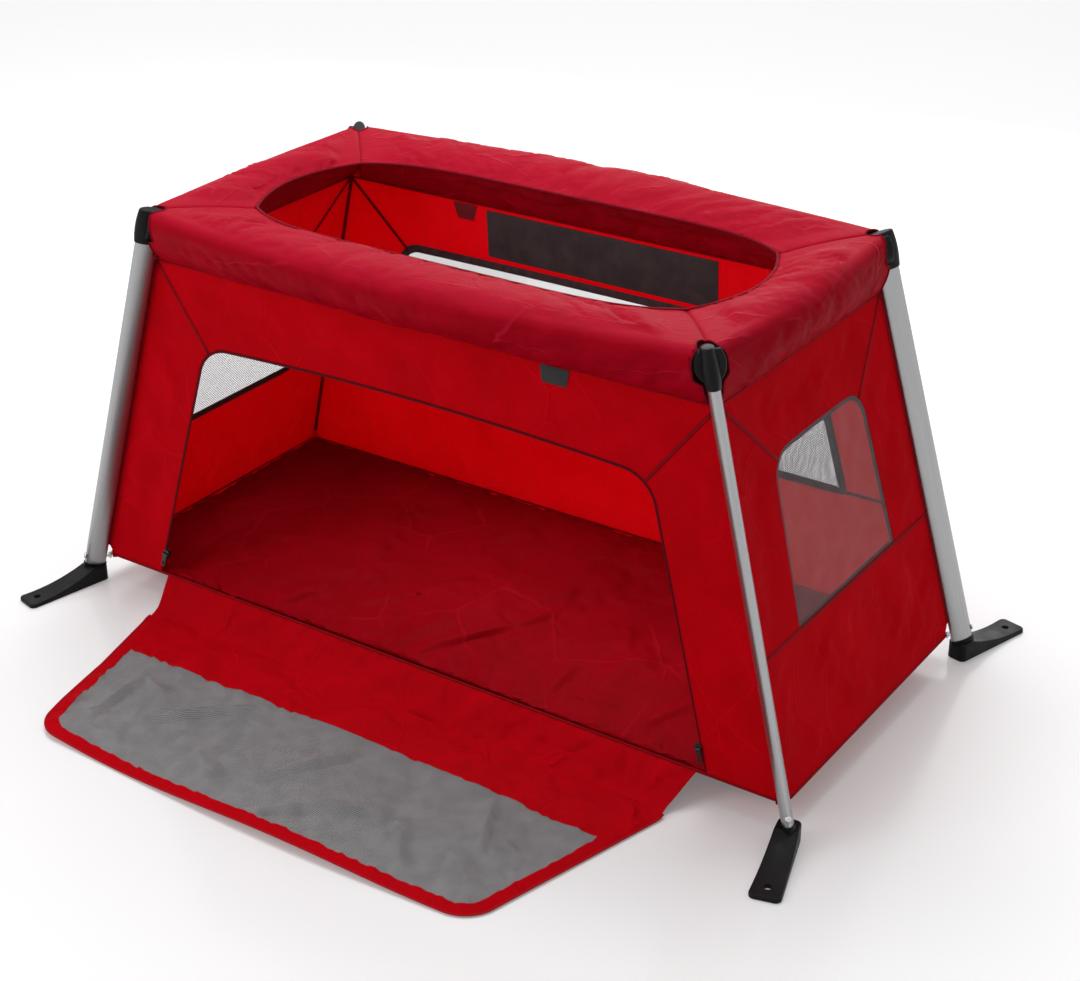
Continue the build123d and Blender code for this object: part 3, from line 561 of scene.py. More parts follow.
for name, (long_side, side) in RIMS.items():
    cover, held, ease = rim_cover(f"rim_cover_{name}", long_side, side)
    smooth = coordinates(cover.data)
    find_folds(cover, held, spare=0.05, pressure=1.2, stiff=0.12, cap=0.008, inward=0.0008, ease=ease)
    folded = coordinates(cover.data)
    cover.data.vertices.foreach_set("co", smooth.ravel())
    ends = [(-1, side), (1, side)] if long_side else [(side, -1), (side, 1)]
    for signs in ends:
        front = leg_out * (NOTCH_OUT - NOTCH_DEEP)
        cut_away(cover, prism("notch", arch_outline, leg_out * NOTCH_DEEP, front, signs, lining))
        low, through = (leg_up * reach for reach in LEG_WAY)
        cut_away(cover, prism("leg_way", leg_outline, low, through, signs, lining))
    put_back(cover, smooth, folded)
    fix_to_tub(cover, "rim_cloth", f"rim_{name}")
    for number, loop in enumerate(edge_loops(cover.data)):
        if len(loop) > 12:
            trim = tube(f"notch_piping_{name}_{number}", evenly(loop, 0.003), NOTCH_PIPING, piping)
            fix_to_tub(trim, "rim_cloth")


# The mouth's edge: one round of thin crimson piping, sewn in between the top of the covers and their
# inner face.
half_turn = []
for share in np.linspace(-1, 1, 121):
    half_turn.append((share * MOUTH_CORNER_X, mouth_edge(share * MOUTH_CORNER_X, True), MOUTH_Z))
end_turn = []
for share in np.linspace(1, -1, 61)[1:-1]:
    end_turn.append((mouth_edge(share * MOUTH_CORNER_Y, False), share * MOUTH_CORNER_Y, MOUTH_Z))
mouth_path = np.array(half_turn + end_turn)
mouth_path = np.vstack([mouth_path, mouth_path * (-1, -1, 1)])
mouth_piping = tube("mouth_piping", mouth_path, MOUTH_PIPING, piping, closed=True)
fix_to_tub(mouth_piping, "rim_cloth")


# Walls: red nylon, each sewn from a header, two uprights and, under a window, a lower panel. They hang
# from the rim's seam to the hem, the seams are felled and stitched, and the spare cloth ripples.
HEM_X, HEM_Y, HEM_Z = 0.556, 0.236, 0.040
HEM_CORNER = 0.014
CLOTH = 0.0016
WALL_WAYS = {"front": (1, 0), "rear": (-1, 0), "right": (0, 1), "left": (0, -1)}
WINDOW_LOW_Z, WINDOW_HIGH_Z, WINDOW_ARCH = 0.212, 0.422, 0.002
END_WINDOW = (0.131, 0.116, 0.040)
WINDOW_HALVES = {"rear": (0.392, 0.336, 0.036), "left": END_WINDOW, "right": END_WINDOW}
DOOR_LOW_HALF, DOOR_HIGH_HALF, DOOR_HIGH_Z = 0.451, 0.350, 0.409
DOOR_ARCH, DOOR_RADIUS = 0.011, 0.055
WALL_STEP, WALL_FOLD, WALL_FOLD_IN = 0.010, 0.007, 0.004
FOLD_CLEAR, FOLD_EASE = 0.007, 0.03
PANEL_SPARE, HEADER_SPARE, SEWN_ROOM, CORD_STEP = 0.024, 0.020, 0.012, 0.012
DOOR_MITRE, WINDOW_MITRE = (0.015, 0.018), (0.010, 0.011)
RIB_PITCH, STITCH_LENGTH = 0.0011, 0.0034
SEAM_OUT, SEAM_HALF, INNER_HALF, SEAM_THICK = 0.0010, 0.0025, 0.0024, 0.0012


def wall_slope(name):
    """Length of a wall from hem to seam, and how far it leans in on the way."""
    lean = HEM_Y - SEAM_Y if WALL_WAYS[name][0] else HEM_X - SEAM_X
    return math.hypot(lean, SEAM_Z - HEM_Z), lean


def up_wall(name, height):
    return (height - HEM_Z) * wall_slope(name)[0] / (SEAM_Z - HEM_Z)


def facing(name):
    """The way that a wall's outer side looks."""
    outward = np.array((WALL_WAYS[name][1], -WALL_WAYS[name][0], 0.0))
    slope, lean = wall_slope(name)
    return (outward * (SEAM_Z - HEM_Z) + (0, 0, lean)) / slope


def on_wall(name, flat, out=0.0):
    """Points of a wall's flat pattern, u along it and v up from the hem, set where the wall stands."""
    along = np.array((*WALL_WAYS[name], 0.0))
    outward = np.array((along[1], -along[0], 0.0))
    hem = outward * (HEM_Y if along[0] else HEM_X) + (0, 0, HEM_Z)
    flat = np.asarray(flat, float)
    up = np.cross(facing(name), along)
    return hem + flat[:, :1] * along + flat[:, 1:2] * up + np.reshape(out, (-1, 1)) * facing(name)


def half_opening(low_half, low, high_half, high, arch, radius):
    """An opening's right half: up its side, round the upper corner, and along the arched top."""
    foot = np.array((low_half, low))
    way = np.array((high_half, high)) - foot
    way /= np.linalg.norm(way)
    inward = np.array((-way[1], way[0]))
    large = (high_half * high_half + arch * arch) / (2 * arch)
    middle = np.array((0, high + arch - large))
    start = foot + inward * radius - middle
    reach = math.sqrt((start @ way) ** 2 - start @ start + (large - radius) ** 2) - start @ way
    centre = foot + inward * radius + way * reach
    first = centre - inward * radius
    last = middle + (centre - middle) * large / (large - radius)
    bend = (first + last) / 2 - centre
    turn = arc_through(first, centre + bend * radius / np.linalg.norm(bend), last, 14)
    across = np.linspace(last[0], 0, 12)
    top = np.column_stack([across, middle[1] + np.sqrt(large * large - across * across)])
    return np.vstack([foot, turn, top[1:]])


def window_half(name):
    low_half, high_half, radius = WINDOW_HALVES[name]
    low, high = (up_wall(name, height) for height in (WINDOW_LOW_Z, WINDOW_HIGH_Z))
    return half_opening(low_half, low, high_half, high, WINDOW_ARCH, radius)


def doorway_half(shrink):
    lean = (DOOR_LOW_HALF - DOOR_HIGH_HALF) / (DOOR_HIGH_Z - HEM_Z)
    inset = shrink - lean * shrink
    high = up_wall("front", DOOR_HIGH_Z) - shrink
    low, top = DOOR_LOW_HALF - inset, DOOR_HIGH_HALF - inset
    return half_opening(low, -shrink, top, high, DOOR_ARCH, DOOR_RADIUS - shrink)


def both_halves(right):
    """A right half and its mirror image as one path, from the right end over the middle to the left."""
    return np.vstack([right, (right * (-1, 1))[-2::-1]])


def stepped(path, step, closed=False):
    """A path with its own corners kept and points added along its longer sides."""
    path = np.asarray(path, float)
    ends = np.vstack([path, path[:1]]) if closed else path
    points = []
    for start, end in zip(ends[:-1], ends[1:]):
        count = max(1, round(np.linalg.norm(end - start) / step))
        points += [start + (end - start) * k / count for k in range(count)]
    return np.array(points if closed else points + [ends[-1]])


def within(points, outline):
    """Which points lie inside a closed outline, by counting the sides crossed on the way out."""
    x, y = points[:, :1], points[:, 1:]
    start, end = outline, np.roll(outline, -1, 0)
    rise = end[:, 1] - start[:, 1]
    crossing = (start[:, 1] > y) != (end[:, 1] > y)
    meets = start[:, 0] + (y - start[:, 1]) * (end[:, 0] - start[:, 0]) / np.where(rise == 0, 1, rise)
    return (crossing & (x < meets)).sum(1) % 2 == 1


def from_path(points, path):
    """Distance of each point from the nearest point of a path."""
    return np.array([np.linalg.norm(path - point, axis=1).min() for point in points])


def cut_cloth(outline, spacing, lines=()):
    """Flat triangles that fill an outline: points along it, along the lines given, and evenly between."""
    paths = [stepped(outline, spacing, True)] + [stepped(line, spacing) for line in lines]
    points, edges = [], []
    for number, path in enumerate(paths):
        first = len(points)
        points += path.tolist()
        edges += [(k, k + 1) for k in range(first, len(points) - 1)]
        if number == 0:
            edges.append((len(points) - 1, 0))
    low, high = paths[0].min(0), paths[0].max(0)
    columns = np.arange(low[0], high[0], spacing)
    rows = np.arange(low[1], high[1], spacing * 0.866)
    grid = np.array([(x + spacing / 2 * (k % 2), y) for k, y in enumerate(rows) for x in columns])
    grid += chance.uniform(-0.15, 0.15, grid.shape) * spacing
    grid = grid[within(grid, paths[0])]
    grid = grid[from_path(grid, np.vstack(paths)) > 0.6 * spacing]
    places = [Vector(point) for point in points + grid.tolist()]
    made = geometry.delaunay_2d_cdt(places, edges, [], 1, 1e-6)
    return np.array([tuple(point) for point in made[0]]), [tuple(face) for face in made[2]]


def border(faces, count):
    """Which points of a cut piece lie on its edge."""
    times = {}
    for face in faces:
        for one, other in zip(face, face[1:] + face[:1]):
            edge = (min(one, other), max(one, other))
            times[edge] = times.get(edge, 0) + 1
    on_edge = np.zeros(count, bool)
    on_edge[[point for edge, used in times.items() if used == 1 for point in edge]] = True
    return on_edge


def flat_area(flat, faces):
    a, b, c = (flat[[face[k] for face in faces]].T for k in range(3))
    one, other = b - a, c - a
    return float(np.abs(one[0] * other[1] - one[1] * other[0]).sum() / 2)


def thicken(piece, thick):
    """Gives a sheet its thickness, with its second material on the inner side."""
    second = len(piece.data.materials) - 1
    apply_modifier(piece, "SOLIDIFY", thickness=thick, offset=0.0, material_offset=second)
    piece.data.set_sharp_from_angle(angle=math.radians(60))


def sewn_panel(name, wall, outlines, spare, keep_flat=()):
    """A wall's cut pieces, placed, rippled by their spare length and given the cloth's thickness."""
    flat, faces, wide = np.zeros((0, 2)), [], 0.0
    for outline in outlines:
        cut, triangles = cut_cloth(outline, WALL_STEP)
        faces += [tuple(point + len(flat) for point in face) for face in triangles]
        flat = np.vstack([flat, cut])
        wide += float(np.ptp(cut[:, 0]))
    piece = new_piece(name, on_wall(wall, flat), faces, flat, red_nylon, red_lit_inside)
    held = border(faces, len(flat))
    for zone in keep_flat:
        held |= within(flat, np.array(zone))
    ease = np.clip((from_path(flat, flat[held]) - FOLD_CLEAR) / FOLD_EASE, 0, 1)
    find_folds(piece, held, spare=spare, cap=WALL_FOLD, stiff=0.10, inward=WALL_FOLD_IN, ease=ease)
    thicken(piece, CLOTH)
    fix_to_tub(piece, "red_cloth", name.replace("panel", "wall", 1))


def stitched_finish(name, light, dark, rows):
    """Woven tape: ribs across it, and a row of stitches at a distance either side of its middle."""
    made, start = new_material(name)
    flat = start.source("UVMap")
    u, v, _ = flat.parts()
    ribs = (u * (2 * math.pi / RIB_PITCH)).math("SINE")
    shade = flat.noise(70.0, 3.0)
    line = 1 - (v.math("ABSOLUTE") - rows).math("ABSOLUTE").between(0.0002, 0.0006)
    stitch = line * (u * (1 / STITCH_LENGTH)).math("FRACT").between(0.18, 0.34)
    start.surface({
        "Base Color": (shade - 0.25 * stitch).between(0.25, 0.75).tint(dark, light),
        "Roughness": 0.6 + 0.1 * shade,
        "Specular IOR Level": 0.06,
        "Normal": (ribs * 0.25 + stitch).bump(0.0003, 0.6),
    })
    return made


def tape(name, path, face, half, thick, material, closed=False):
    """A flat tape along a path, its broad side looking the way of face."""
    edge = thick / 2
    right = [(half, -edge / 2), (half, edge / 2), (half - edge, edge)]
    left = [(-half + edge, edge), (-half, edge / 2), (-half, -edge / 2)]
    section = right + left + [(-half + edge, -edge), (half - edge, -edge)]
    return swept(name, path, section, material, face, closed)


# The outer side's ridge colour is a painted highlight along its wrinkles.
red_nylon = cloth_finish(
    "red_nylon", (0.60, 0.001, 0.007), (0.50, 0.001, 0.005), 14.0, 0.012, 0.5, 1.4, 0.8,
    ridge_highlight=(0.66, 0.006, 0.020),
)
# The inner side is a brighter copy of the red nylon: painted light for the light that reaches the inside
# through the cloth and the mouth. Its ridge colour is a painted highlight along the wrinkles.
red_lit_inside = cloth_finish(
    "red_nylon_lit_inside", (0.97, 0.005, 0.018), (0.87, 0.003, 0.011), 14.0, 0.012, 0.55, 1.6, 1.0,
    ridge_highlight=(0.98, 0.012, 0.030),
)
seam_tape = stitched_finish("felled_seam", (0.34, 0.003, 0.008), (0.24, 0.002, 0.005), 0.0014)
inner_tape = stitched_finish("inner_seam", (0.24, 0.003, 0.007), (0.16, 0.002, 0.005), 0.0015)
SEAM_TAPES = {"seam": (SEAM_OUT, SEAM_HALF, seam_tape), "inner_seam": (-SEAM_OUT, INNER_HALF, inner_tape)}
TAG = ((0.190, 0.232), (0.489, 0.511))
TAB = ((0.199, 0.240), (0.487, 0.511))
PATCH = ((-0.196, 0.182), (0.437, 0.508))
SEWN_SPANS = {"front": (TAG,), "rear": (TAB, PATCH)}


def sewn_zone(wall, spans, room=0.0):
    (left, right), heights = spans
    low, high = (up_wall(wall, height) for height in heights)
    left, right, low, high = left - room, right + room, low - room, high + room
    return [(left, low), (right, low), (right, high), (left, high)]


def crossing_on(path, start, end):
    """Where a straight seam meets an opening's edge, and the path before and after that point."""
    for k in range(len(path) - 1):
        way, side = end - start, path[k + 1] - path[k]
        turn = way[0] * side[1] - way[1] * side[0]
        gap = path[k] - start
        share = (gap[0] * side[1] - gap[1] * side[0]) / turn
        place = (gap[0] * way[1] - gap[1] * way[0]) / turn
        if 0 <= place <= 1 and 0 <= share <= 1:
            meet = path[k] + side * place
            return meet, np.vstack([path[: k + 1], meet]), np.vstack([meet, path[k + 1 :]])


for wall in WALL_WAYS:
    long_side = WALL_WAYS[wall][0] != 0
    low_half, top_half = (HEM_X, SEAM_X) if long_side else (HEM_Y - CLOTH, SEAM_Y - CLOTH)
    top = wall_slope(wall)[0]
    corner = np.array((top_half, top))
    notch = (low_half - (low_half - top_half) * HEM_CORNER / top, HEM_CORNER)
    hem = [(low_half - HEM_CORNER, 0.0), notch]
    if wall == "front":
        corner_line = stepped(on_wall(wall, [notch, corner]), 0.03)
        edge = doorway_half(0.0)
        edge = np.vstack([(DOOR_LOW_HALF, 0.0), edge[1:]])
        inner = np.array((DOOR_HIGH_HALF, up_wall(wall, DOOR_HIGH_Z))) - DOOR_MITRE
        side = hem
    else:
        edge = window_half(wall)
        level = up_wall(wall, WINDOW_LOW_Z)
        inner = np.array((WINDOW_HALVES[wall][1], up_wall(wall, WINDOW_HIGH_Z))) - WINDOW_MITRE
        side = [(low_half - (low_half - top_half) * level / top, level)]
        lower = np.array([*hem, side[0]])
        lower = np.vstack([lower, lower[::-1] * (-1, 1)])
        sewn_panel(f"panel_{wall}_lower", wall, [lower], PANEL_SPARE)
    meet, below, above = crossing_on(edge, corner, inner)
    upright = np.vstack([side, corner, below[::-1]])
    header = np.vstack([corner, above, (above * (-1, 1))[-2::-1], corner * (-1, 1)])
    keep = [sewn_zone(wall, spans, SEWN_ROOM) for spans in SEWN_SPANS.get(wall, ())]
    sewn_panel(f"panel_{wall}_header", wall, [header], HEADER_SPARE, keep)
    sewn_panel(f"panel_{wall}_uprights", wall, [upright, (upright * (-1, 1))[::-1]], PANEL_SPARE)
    seams = {"right_mitre": [meet, corner], "left_mitre": [meet * (-1, 1), corner * (-1, 1)]}
    if wall != "front":
        seams["sill"] = [side[0], np.array(side[0]) * (-1, 1)]
    for seam, line in seams.items():
        line = stepped(line, 0.02)
        for kind, (out, half, woven) in SEAM_TAPES.items():
            lies = on_wall(wall, line, out)
            strip = tape(f"{kind}_{wall}_{seam}", lies, facing(wall), half, SEAM_THICK, woven)
            fix_to_tub(strip, "red_cloth")


# Piped seams: cords of red nylon where the walls are sewn together at the corners and to the rim, and
# all round the hem. A narrow tape covers each corner seam on the inside.
wall_piping = cloth_finish("wall_piping", (0.38, 0.003, 0.009), (0.28, 0.002, 0.006), 60.0, 0.06, 0.5)
CORNER_CORD, HEM_CORD, RIM_CORD = 0.0024, 0.0021, 0.0017
CORNER_IN, CORNER_TAPE = 0.0022, 0.0030
for corner, (side_x, side_y) in CORNERS.items():
    way = np.array((side_x, -side_y, 1))
    cord = tube(f"corner_seam_{corner}", corner_line * way, CORNER_CORD, wall_piping)
    middle = np.array((-CORNER_IN, CORNER_IN, 0))
    lies = (corner_line + middle) * way
    strip = tape(f"inner_corner_{corner}", lies, middle * way, CORNER_TAPE, SEAM_THICK, inner_tape)
    fix_to_tub(cord, "red_cloth")
    fix_to_tub(strip, "red_cloth")
hem_right = np.array([(HEM_X - HEM_CORNER, -HEM_Y), (HEM_X, -HEM_Y + HEM_CORNER)])
hem_round = np.vstack([hem_right, (hem_right * (1, -1))[::-1]])
hem_round = np.vstack([hem_round, hem_round * -1])
seam_round = np.array([(1, -1), (1, 1), (-1, 1), (-1, -1)]) * (SEAM_X, SEAM_Y)
ROUNDS = {"hem": (hem_round, HEM_Z, HEM_CORD), "rim": (seam_round, SEAM_Z, RIM_CORD)}
for name, (corners, height, radius) in ROUNDS.items():
    path = stepped(np.column_stack([corners, np.full(len(corners), height)]), CORD_STEP, True)
    cord = tube(f"{name}_seam", path, radius, wall_piping, closed=True)
    fix_to_tub(cord, "red_cloth")


# Corner gussets: a small triangle of red nylon closes each cut corner of the hem, and another closes the
# long walls' upper corners, where the rim's mitre stops short of the wall's end.
GUSSET_X, GUSSET_TOP, GUSSET_THICK = 0.408, SEAM_Z + 0.019, 0.0012
hem_gusset = [(HEM_X - HEM_CORNER, HEM_Y, HEM_Z), (HEM_X, HEM_Y - HEM_CORNER, HEM_Z)]
hem_gusset.append(corner_line[0] * (1, -1, 1))
upper_gusset = [(GUSSET_X, SEAM_Y, SEAM_Z), (SEAM_X, SEAM_Y, SEAM_Z), (GUSSET_X, SEAM_Y, GUSSET_TOP)]
for name, shape in (("hem_gusset", hem_gusset), ("upper_gusset", upper_gusset)):
    shape = np.array(shape)
    one, other = shape[1] - shape[0], shape[2] - shape[0]
    area = float(np.linalg.norm(np.cross(one, other)) / 2)
    for corner, signs in CORNERS.items():
        flat = np.column_stack([shape[:, 0] - shape[:, 1], shape[:, 2]])
        piece = new_piece(f"{name}_{corner}", shape * (*signs, 1), [(0, 1, 2)], flat, red_nylon)
        thicken(piece, GUSSET_THICK)
        fix_to_tub(piece, "red_cloth")


# Window nets: soft grey knitted net in the rear wall and both ends, stretched in its frame, with a dark
# binding tape sewn round the edge on the inside.
NET_STEP, BINDING_HALF, BINDING = 0.012, 0.006, 0.0008


def net_finish(name, light, dark, pitch, open_share):
    """Knitted net: fine threads on the bias with holes between, cut out of the sheet."""
    made, start = new_material(name)
    flat = start.source("UVMap")
    u, v, _ = flat.parts()
    turn = math.pi / pitch
    one = ((u + v) * (turn * 0.7071)).math("SINE").math("ABSOLUTE")
    other = ((u - v) * (turn * 0.7071)).math("SINE").math("ABSOLUTE")
    hole = one.math("MINIMUM", other)
    shade = flat.noise(40.0, 3.0)
    start.surface({
        "Base Color": shade.between(0.3, 0.7).tint(dark, light),
        "Roughness": 0.62 + 0.15 * shade,
        "Specular IOR Level": 0.25,
        "Alpha": 1 - hole.between(open_share - 0.08, open_share + 0.08),
    })
    return made


grey_net = net_finish("grey_net", (0.21, 0.205, 0.21), (0.155, 0.15, 0.155), 0.0026, 0.46)
binding = stitched_finish("dark_binding", (0.095, 0.066, 0.072), (0.060, 0.040, 0.045), 0.0042)
for wall in WINDOW_HALVES:
    outline = both_halves(window_half(wall))
    flat, faces = cut_cloth(outline, NET_STEP)
    net = new_piece(f"net_{wall}", on_wall(wall, flat), faces, flat, grey_net)
    find_folds(net, border(faces, len(flat)), spare=0.008, cap=0.004, stiff=0.1, frames=12)
    fix_to_tub(net, "grey_net", f"window_net_{wall}")
    lies = on_wall(wall, stepped(outline, NET_STEP, True), -(CLOTH + BINDING) / 2)
    bound = tape(f"window_binding_{wall}", lies, facing(wall), BINDING_HALF, BINDING, binding, True)
    fix_to_tub(bound, "dark_binding", "window_bindings")


# Doorway zip: a woven tape sewn round the doorway's edge, with one row of the zip's nylon coil on it.
# Two dark metal sliders run on the coil, and each carries a loose pull.
ZIP_GAP, ZIP_TRACK, ZIP_THICK, ZIP_LOW = 0.009, 0.0035, 0.0016, 0.003
COIL_PITCH, COIL_THIN, COIL_SWELL = 0.0011, 0.00085, 0.0003
zip_weave = stitched_finish("zip_tape", (0.16, 0.004, 0.008), (0.09, 0.002, 0.005), 0.0009)
door_weave = stitched_finish("door_tape", (0.50, 0.003, 0.010), (0.40, 0.002, 0.006), 0.0009)


def coil_finish(name, light, dark):
    made, start = new_material(name)
    shade = start.source("UVMap").noise(900.0, 2.0)
    colour = shade.tint(dark, light)
    start.surface({"Base Color": colour, "Roughness": 0.4 + 0.2 * shade, "Specular IOR Level": 0.08})
    return made


doorway_nylon = coil_finish("doorway_coil", (0.16, 0.005, 0.010), (0.09, 0.003, 0.006))
door_nylon = coil_finish("door_coil", (0.50, 0.008, 0.018), (0.38, 0.004, 0.010))
gunmetal = metal("zip_gunmetal", (0.035, 0.033, 0.035), (0.085, 0.08, 0.082), (600.0, 4.0), 0.3, 0.2)


def coil(name, path, material):
    """One row of a zip: a cord along the tape whose thickness swells at every turn of the coil."""
    path = evenly(path, COIL_PITCH)
    turns = COIL_THIN + COIL_SWELL * (np.arange(len(path)) % 2)
    return tube(name, path, turns, material, sides=5)


def round_doorway(shrink):
    """A path on the front wall from hem to hem, a little inside the doorway's edge."""
    path = both_halves(doorway_half(shrink))
    path[[0, -1], 1] = ZIP_LOW
    return on_wall("front", stepped(path, CORD_STEP))


lies = round_doorway(ZIP_TRACK / 2)
doorway_tape = tape("doorway_zip_tape", lies, facing("front"), ZIP_TRACK / 2, ZIP_THICK, zip_weave)
fix_to_tub(doorway_tape, "zip_tape", "zip_track")
doorway_coil = coil("doorway_zip_coil", round_doorway(ZIP_TRACK), doorway_nylon)
fix_to_tub(doorway_coil, "zip_tape")
dress(gunmetal, *(f"zip_{piece}_{side}" for piece in ("slider", "pull") for side in ("right", "left")))


# Door: one red panel with a grey net sewn into it, hinged at the hem. It hangs over the hem's edge, bends
# where it meets the floor and lies there, so its spare cloth and the loose net buckle upward.
DROP_LENGTH, DROP_INSET, DOOR_HINGE_GAP = 0.062, 0.006, 0.0005
NET_START, NET_BORDER = 0.150, 0.017
DOOR_SOLE, DOOR_BEND, DOOR_LIFT = 0.0005, 0.026, 0.0045
NET_CREASES_MM = [
    (10, 355, 165, 261), (-18, 300, 52, 186), (-100, 283, -20, 303), (-297, 317, -314, 194),
    (-314, 194, -249, 228), (-261, 293, -130, 167), (-142, 285, -75, 331), (165, 261, 228, 345),
    (292, 267, 244, 160), (242, 278, 315, 315),
]
NET_CREASES = np.reshape(NET_CREASES_MM, (-1, 2, 2)) / 1000
NET_CREASE_HIGH, NET_SMALL_HIGH, NET_SMALL = 0.011, 0.003, 40
DOOR_CLOTH, DOOR_STEP, DOOR_EDGE_STEP = 0.0014, 0.0072, 0.008
DROP_EASE_AT, DROP_EASE, NET_EASE, BEND_REACH, HINGE_SHARE = 0.075, 0.02, 0.006, 0.025, 0.3
LIFT_FROM, LIFT_OVER, LIFT_WAVES, LIFT_SHIFT = 0.2, 0.1, 12, 0.8
DOOR_TAPE, DOOR_TAPE_HALF, DOOR_TAPE_THICK = 0.0026, 0.0018, 0.0008
TAPE_UP, COIL_UP, TAPE_PAST, CREASE_IN, FINE_STEP = 0.0006, 0.0004, 0.0015, 0.004, 0.004
CREASE_STEEP, CREASE_LONG = 0.0045, 0.026
dip = math.asin((HEM_Z - DOOR_SOLE - CLOTH / 2) / DROP_LENGTH)
crease = np.array((0, -HEM_Y - DROP_LENGTH * math.cos(dip), HEM_Z - DROP_LENGTH * math.sin(dip)))


def folded_down(flat):
    """The door's flat pattern, hung from the hem, bent round the crease and laid out on the floor."""
    down = np.linspace(0, flat[:, 1].max(), 800)
    step = down[1]
    slope = dip * np.clip((DROP_LENGTH + DOOR_BEND - down) / (2 * DOOR_BEND), 0, 1)
    drop = np.cumsum(np.sin(slope)) * step
    drop *= (HEM_Z - crease[2]) / drop[-1]
    out = np.interp(flat[:, 1], down, np.cumsum(np.cos(slope)) * step)
    return np.column_stack([flat[:, 0], -HEM_Y - out, HEM_Z - np.interp(flat[:, 1], down, drop)])


def steep_side(start, end, front):
    """The way across a crease to its steep side, which is the one that looks to the front."""
    way = end - start
    across = np.array((-way[1], way[0])) / np.linalg.norm(way)
    return across if across @ front > 0 else -across


def creased(flat, lines, front, height):
    """How far a cloth stands up along its creases: a long slope behind each, a steep one in front of it,
    both dying out towards its ends."""
    rise = np.zeros(len(flat))
    for start, end in lines:
        way = end - start
        share = np.clip((flat - start) @ way / (way @ way), 0, 1)
        gap = flat - start - share[:, None] * way
        reach = np.where(gap @ steep_side(start, end, front) > 0, CREASE_STEEP, CREASE_LONG)
        slope = np.maximum(1 - np.linalg.norm(gap, axis=1) / reach, 0)
        rise = np.maximum(rise, height * slope * np.sqrt(np.sin(math.pi * share)))
    return rise


def crease_feet(lines, front):
    """The lines along which the steep sides of creases end."""
    feet = []
    for start, end in lines:
        shift = CREASE_STEEP * steep_side(start, end, front)
        inset = 0.08 * (end - start)
        feet.append((start + inset + shift, end - inset + shift))
    return feet


def small_creases(count, low, high, turns, lengths):
    """Short creases here and there between two corners of a cloth, of various turns and lengths."""
    lines = []
    for _ in range(count):
        middle, turn, length = chance.uniform(low, high), chance.uniform(*turns), chance.uniform(*lengths)
        half = length / 2 * np.array((math.cos(turn), math.sin(turn)))
        lines.append((middle - half, middle + half))
    return lines


def part_of(name, points, faces, flat, chosen, *materials):
    """A piece of its own from some of a cut piece's triangles."""
    kept = [face for face, keep in zip(faces, chosen) if keep]
    used = np.unique(np.array(kept))
    place = {int(old): new for new, old in enumerate(used)}
    moved = [[place[k] for k in face] for face in kept]
    return new_piece(name, points[used], moved, flat[used], *materials), flat_area(flat, kept)


door_half = stepped(doorway_half(ZIP_GAP), DOOR_EDGE_STEP)
door_half = door_half[door_half[:, 1] > DOOR_HINGE_GAP]
foot_u = DOOR_LOW_HALF - ZIP_GAP
door_half = np.vstack([(foot_u, DOOR_HINGE_GAP), door_half])
door_half[:, 0] -= DROP_INSET * np.clip((DROP_EASE_AT - door_half[:, 1]) / DROP_EASE, 0, 1)
net_half = stepped(doorway_half(ZIP_GAP + NET_BORDER), DOOR_EDGE_STEP)
net_half = net_half[net_half[:, 1] > NET_START + 0.004]
net_half = np.vstack([(net_half[0, 0] + 0.001, NET_START), net_half])
net_outline = both_halves(net_half)
door_outline = both_halves(door_half)
crease_line = [(-foot_u + CREASE_IN, DROP_LENGTH), (foot_u - CREASE_IN, DROP_LENGTH)]
net_line = np.vstack([net_outline, net_outline[:1]])
NET_FRONT = (0.58, 0.81)
net_small = small_creases(NET_SMALL, (-0.34, 0.17), (0.34, 0.35), (-0.9, 0.9), (0.03, 0.09))
lines = [crease_line, net_line, *NET_CREASES, *crease_feet(NET_CREASES, NET_FRONT)]
flat, faces = cut_cloth(door_outline, DOOR_STEP, lines)
door = new_piece("door_cloth", folded_down(flat), faces, flat)
find_folds(door, border(faces, len(flat)), spare=0.04, cap=0.010, stiff=0.03, frames=22)
points = coordinates(door.data)
bpy.data.objects.remove(door)
rise = creased(flat, NET_CREASES, NET_FRONT, NET_CREASE_HIGH)
rise += creased(flat, net_small, NET_FRONT, NET_SMALL_HIGH)
from_edge = from_path(flat, stepped(net_outline, FINE_STEP, True))
inside = within(flat, net_outline) * np.clip(from_edge / NET_EASE, 0, 1)
points[:, 2] = crease[2] + np.abs(points[:, 2] - crease[2]) + rise * inside
waves = DOOR_LIFT * (1 + np.sin(flat[:, 0] * LIFT_WAVES + LIFT_SHIFT))
points[:, 2] += waves * np.clip((flat[:, 1] - LIFT_FROM) / LIFT_OVER, 0, 1)
centres = flat[np.array(faces)].mean(1)
hanging = centres[:, 1] < DROP_LENGTH
netted = within(centres, net_outline) & ~hanging

door_red = cloth_finish("door_red", (0.54, 0.001, 0.007), (0.46, 0.001, 0.005), 14.0, 0.015, 0.5)
strip, area = part_of("door_strip_cloth", points, faces, flat, hanging, red_nylon, door_red)
thicken(strip, DOOR_CLOTH)
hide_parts("door_drop_strip")
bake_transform(strip)

panel, area = part_of("door_red_panel", points, faces, flat, ~hanging & ~netted, red_nylon, door_red)
thicken(panel, DOOR_CLOTH)
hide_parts("door_panel")
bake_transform(panel)

close_net = net_finish("close_net", (0.225, 0.218, 0.224), (0.175, 0.169, 0.174), 0.0009, 0.80)
door_net, area = part_of("door_grey_net", points, faces, flat, netted, close_net)
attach(door_net, "door_leaf")
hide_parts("door_net")

